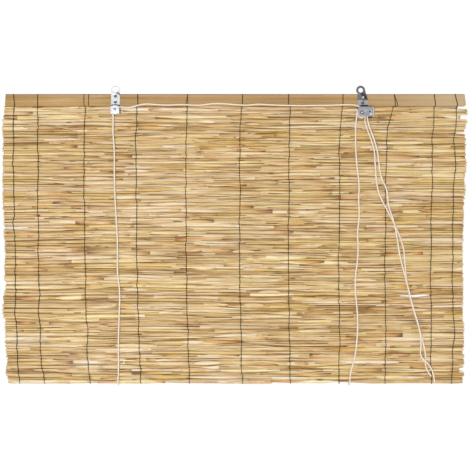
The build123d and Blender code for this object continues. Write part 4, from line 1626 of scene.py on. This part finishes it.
@dataclass
class Studio:
    """The pale floor, the soft lights and the camera."""

    centre: Point = (-0.006, 0.0, -0.2822)
    distance: float = 1.4
    view_width: float = 0.9165
    sensor_width: float = 36.0
    clip_end: float = 50.0
    floor_place: Point = (0.0, -1.6, -1.3)
    floor_size: Point = (7.0, 5.2, 1.0)
    floor_tones: tuple[Colour, Colour] = ((0.8, 0.8, 0.8), (0.84, 0.84, 0.84))
    fill: float = 0.5
    key_power: float = 74.0
    lights: tuple[tuple[str, Point, float, float], ...] = (
        ("key_light", (-0.7, -3.3, -0.85), 0.55, 1.0),
        ("side_light", (1.8, -1.6, 0.2), 1.2, 0.09),
        ("rear_light", (0.6, 2.2, 0.9), 1.6, 0.45),
    )

    def build_floor(self, effects: SurfaceEffects) -> None:
        """Lay a large pale floor.

        Args:
            effects: The shared effects.
        """
        clear_selection()
        bpy.ops.mesh.primitive_plane_add(size=1.0, location=self.floor_place)
        floor = bpy.context.view_layer.objects.active
        floor.name = "studio_floor"
        floor.scale = self.floor_size
        settle(floor)
        paint = Paint("pale_floor", effects)
        noise = paint.noise(paint.place(), 3.0, 2.0)
        paint.shade({"Base Color": paint.mix(noise, *self.floor_tones), "Roughness": 0.8})
        cover([floor], paint.material)

    def build_lights(self) -> None:
        """Set a white surround, a soft key light from the lower left in front, and weaker lights beside and behind."""
        world = bpy.data.worlds.new("white_surround")
        bpy.context.scene.world = world
        world.use_nodes = True
        world.node_tree.nodes.clear()
        graph = NodeGraph(world.node_tree)
        lit, seen = (
            graph.add("ShaderNodeBackground", {"Color": (1.0, 1.0, 1.0, 1.0), "Strength": strength}).outputs[0]
            for strength in (self.fill, 1.0)
        )
        camera_ray = graph.add("ShaderNodeLightPath").outputs["Is Camera Ray"]
        mix = graph.add("ShaderNodeMixShader", {0: camera_ray, 1: lit, 2: seen})
        graph.add("ShaderNodeOutputWorld", {"Surface": mix.outputs[0]})
        for name, place, size, share in self.lights:
            data = bpy.data.lights.new(name, "AREA")
            data.size = size
            data.energy = self.key_power * share
            light = bpy.data.objects.new(name, data)
            light.location = place
            aim = Vector(self.centre) - Vector(place)
            light.rotation_euler = aim.to_track_quat("-Z", "Y").to_euler()
            bpy.context.collection.objects.link(light)

    def build_camera(self) -> None:
        """Set the camera straight in front, as in the photograph."""
        data = bpy.data.cameras.new("front_camera")
        data.sensor_width = self.sensor_width
        data.lens = self.sensor_width * self.distance / self.view_width
        data.clip_end = self.clip_end
        camera = bpy.data.objects.new("front_camera", data)
        camera.location = (self.centre[0], -self.distance, self.centre[2])
        camera.rotation_euler = (math.pi / 2.0, 0.0, 0.0)
        bpy.context.collection.objects.link(camera)
        bpy.context.scene.camera = camera

    def build(self, effects: SurfaceEffects) -> None:
        """Set up the whole studio.

        Args:
            effects: The shared effects.
        """
        bpy.context.scene.view_settings.view_transform = "Standard"
        bpy.context.scene.view_settings.look = "None"
        self.build_floor(effects)
        self.build_lights()
        self.build_camera()


def main() -> None:
    """Build every sub-assembly in order."""
    logging.basicConfig(level=logging.INFO, format="%(name)s: %(message)s")
    effects = SurfaceEffects()
    Studio().build(effects)
    low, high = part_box("reed_mat")
    lath_low, lath_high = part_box("head_batten")
    rows = ReedRows(lath_low[0], lath_high[0], high[2], low[2], (low[1] + high[1]) / 2.0)
    for assembly in (
        LiftCord("left_lift_cord", "left_cord", "left_knot", LEFT_ROUTE, 2.1488),
        LiftCord("right_lift_cord", "right_cord", "right_knot", RIGHT_ROUTE, 1.6871),
        HeadLath(LathFinish()),
        MetalFittings(),
        ReedMat(rows, ReedFinish()),
        BindingTwine(rows, TwineFinish(), lath_high[2], lath_low[1], lath_high[1]),
    ):
        assembly.assemble(effects)
    clear_selection()
    bpy.context.view_layer.update()


if __name__ == "__main__":
    main()
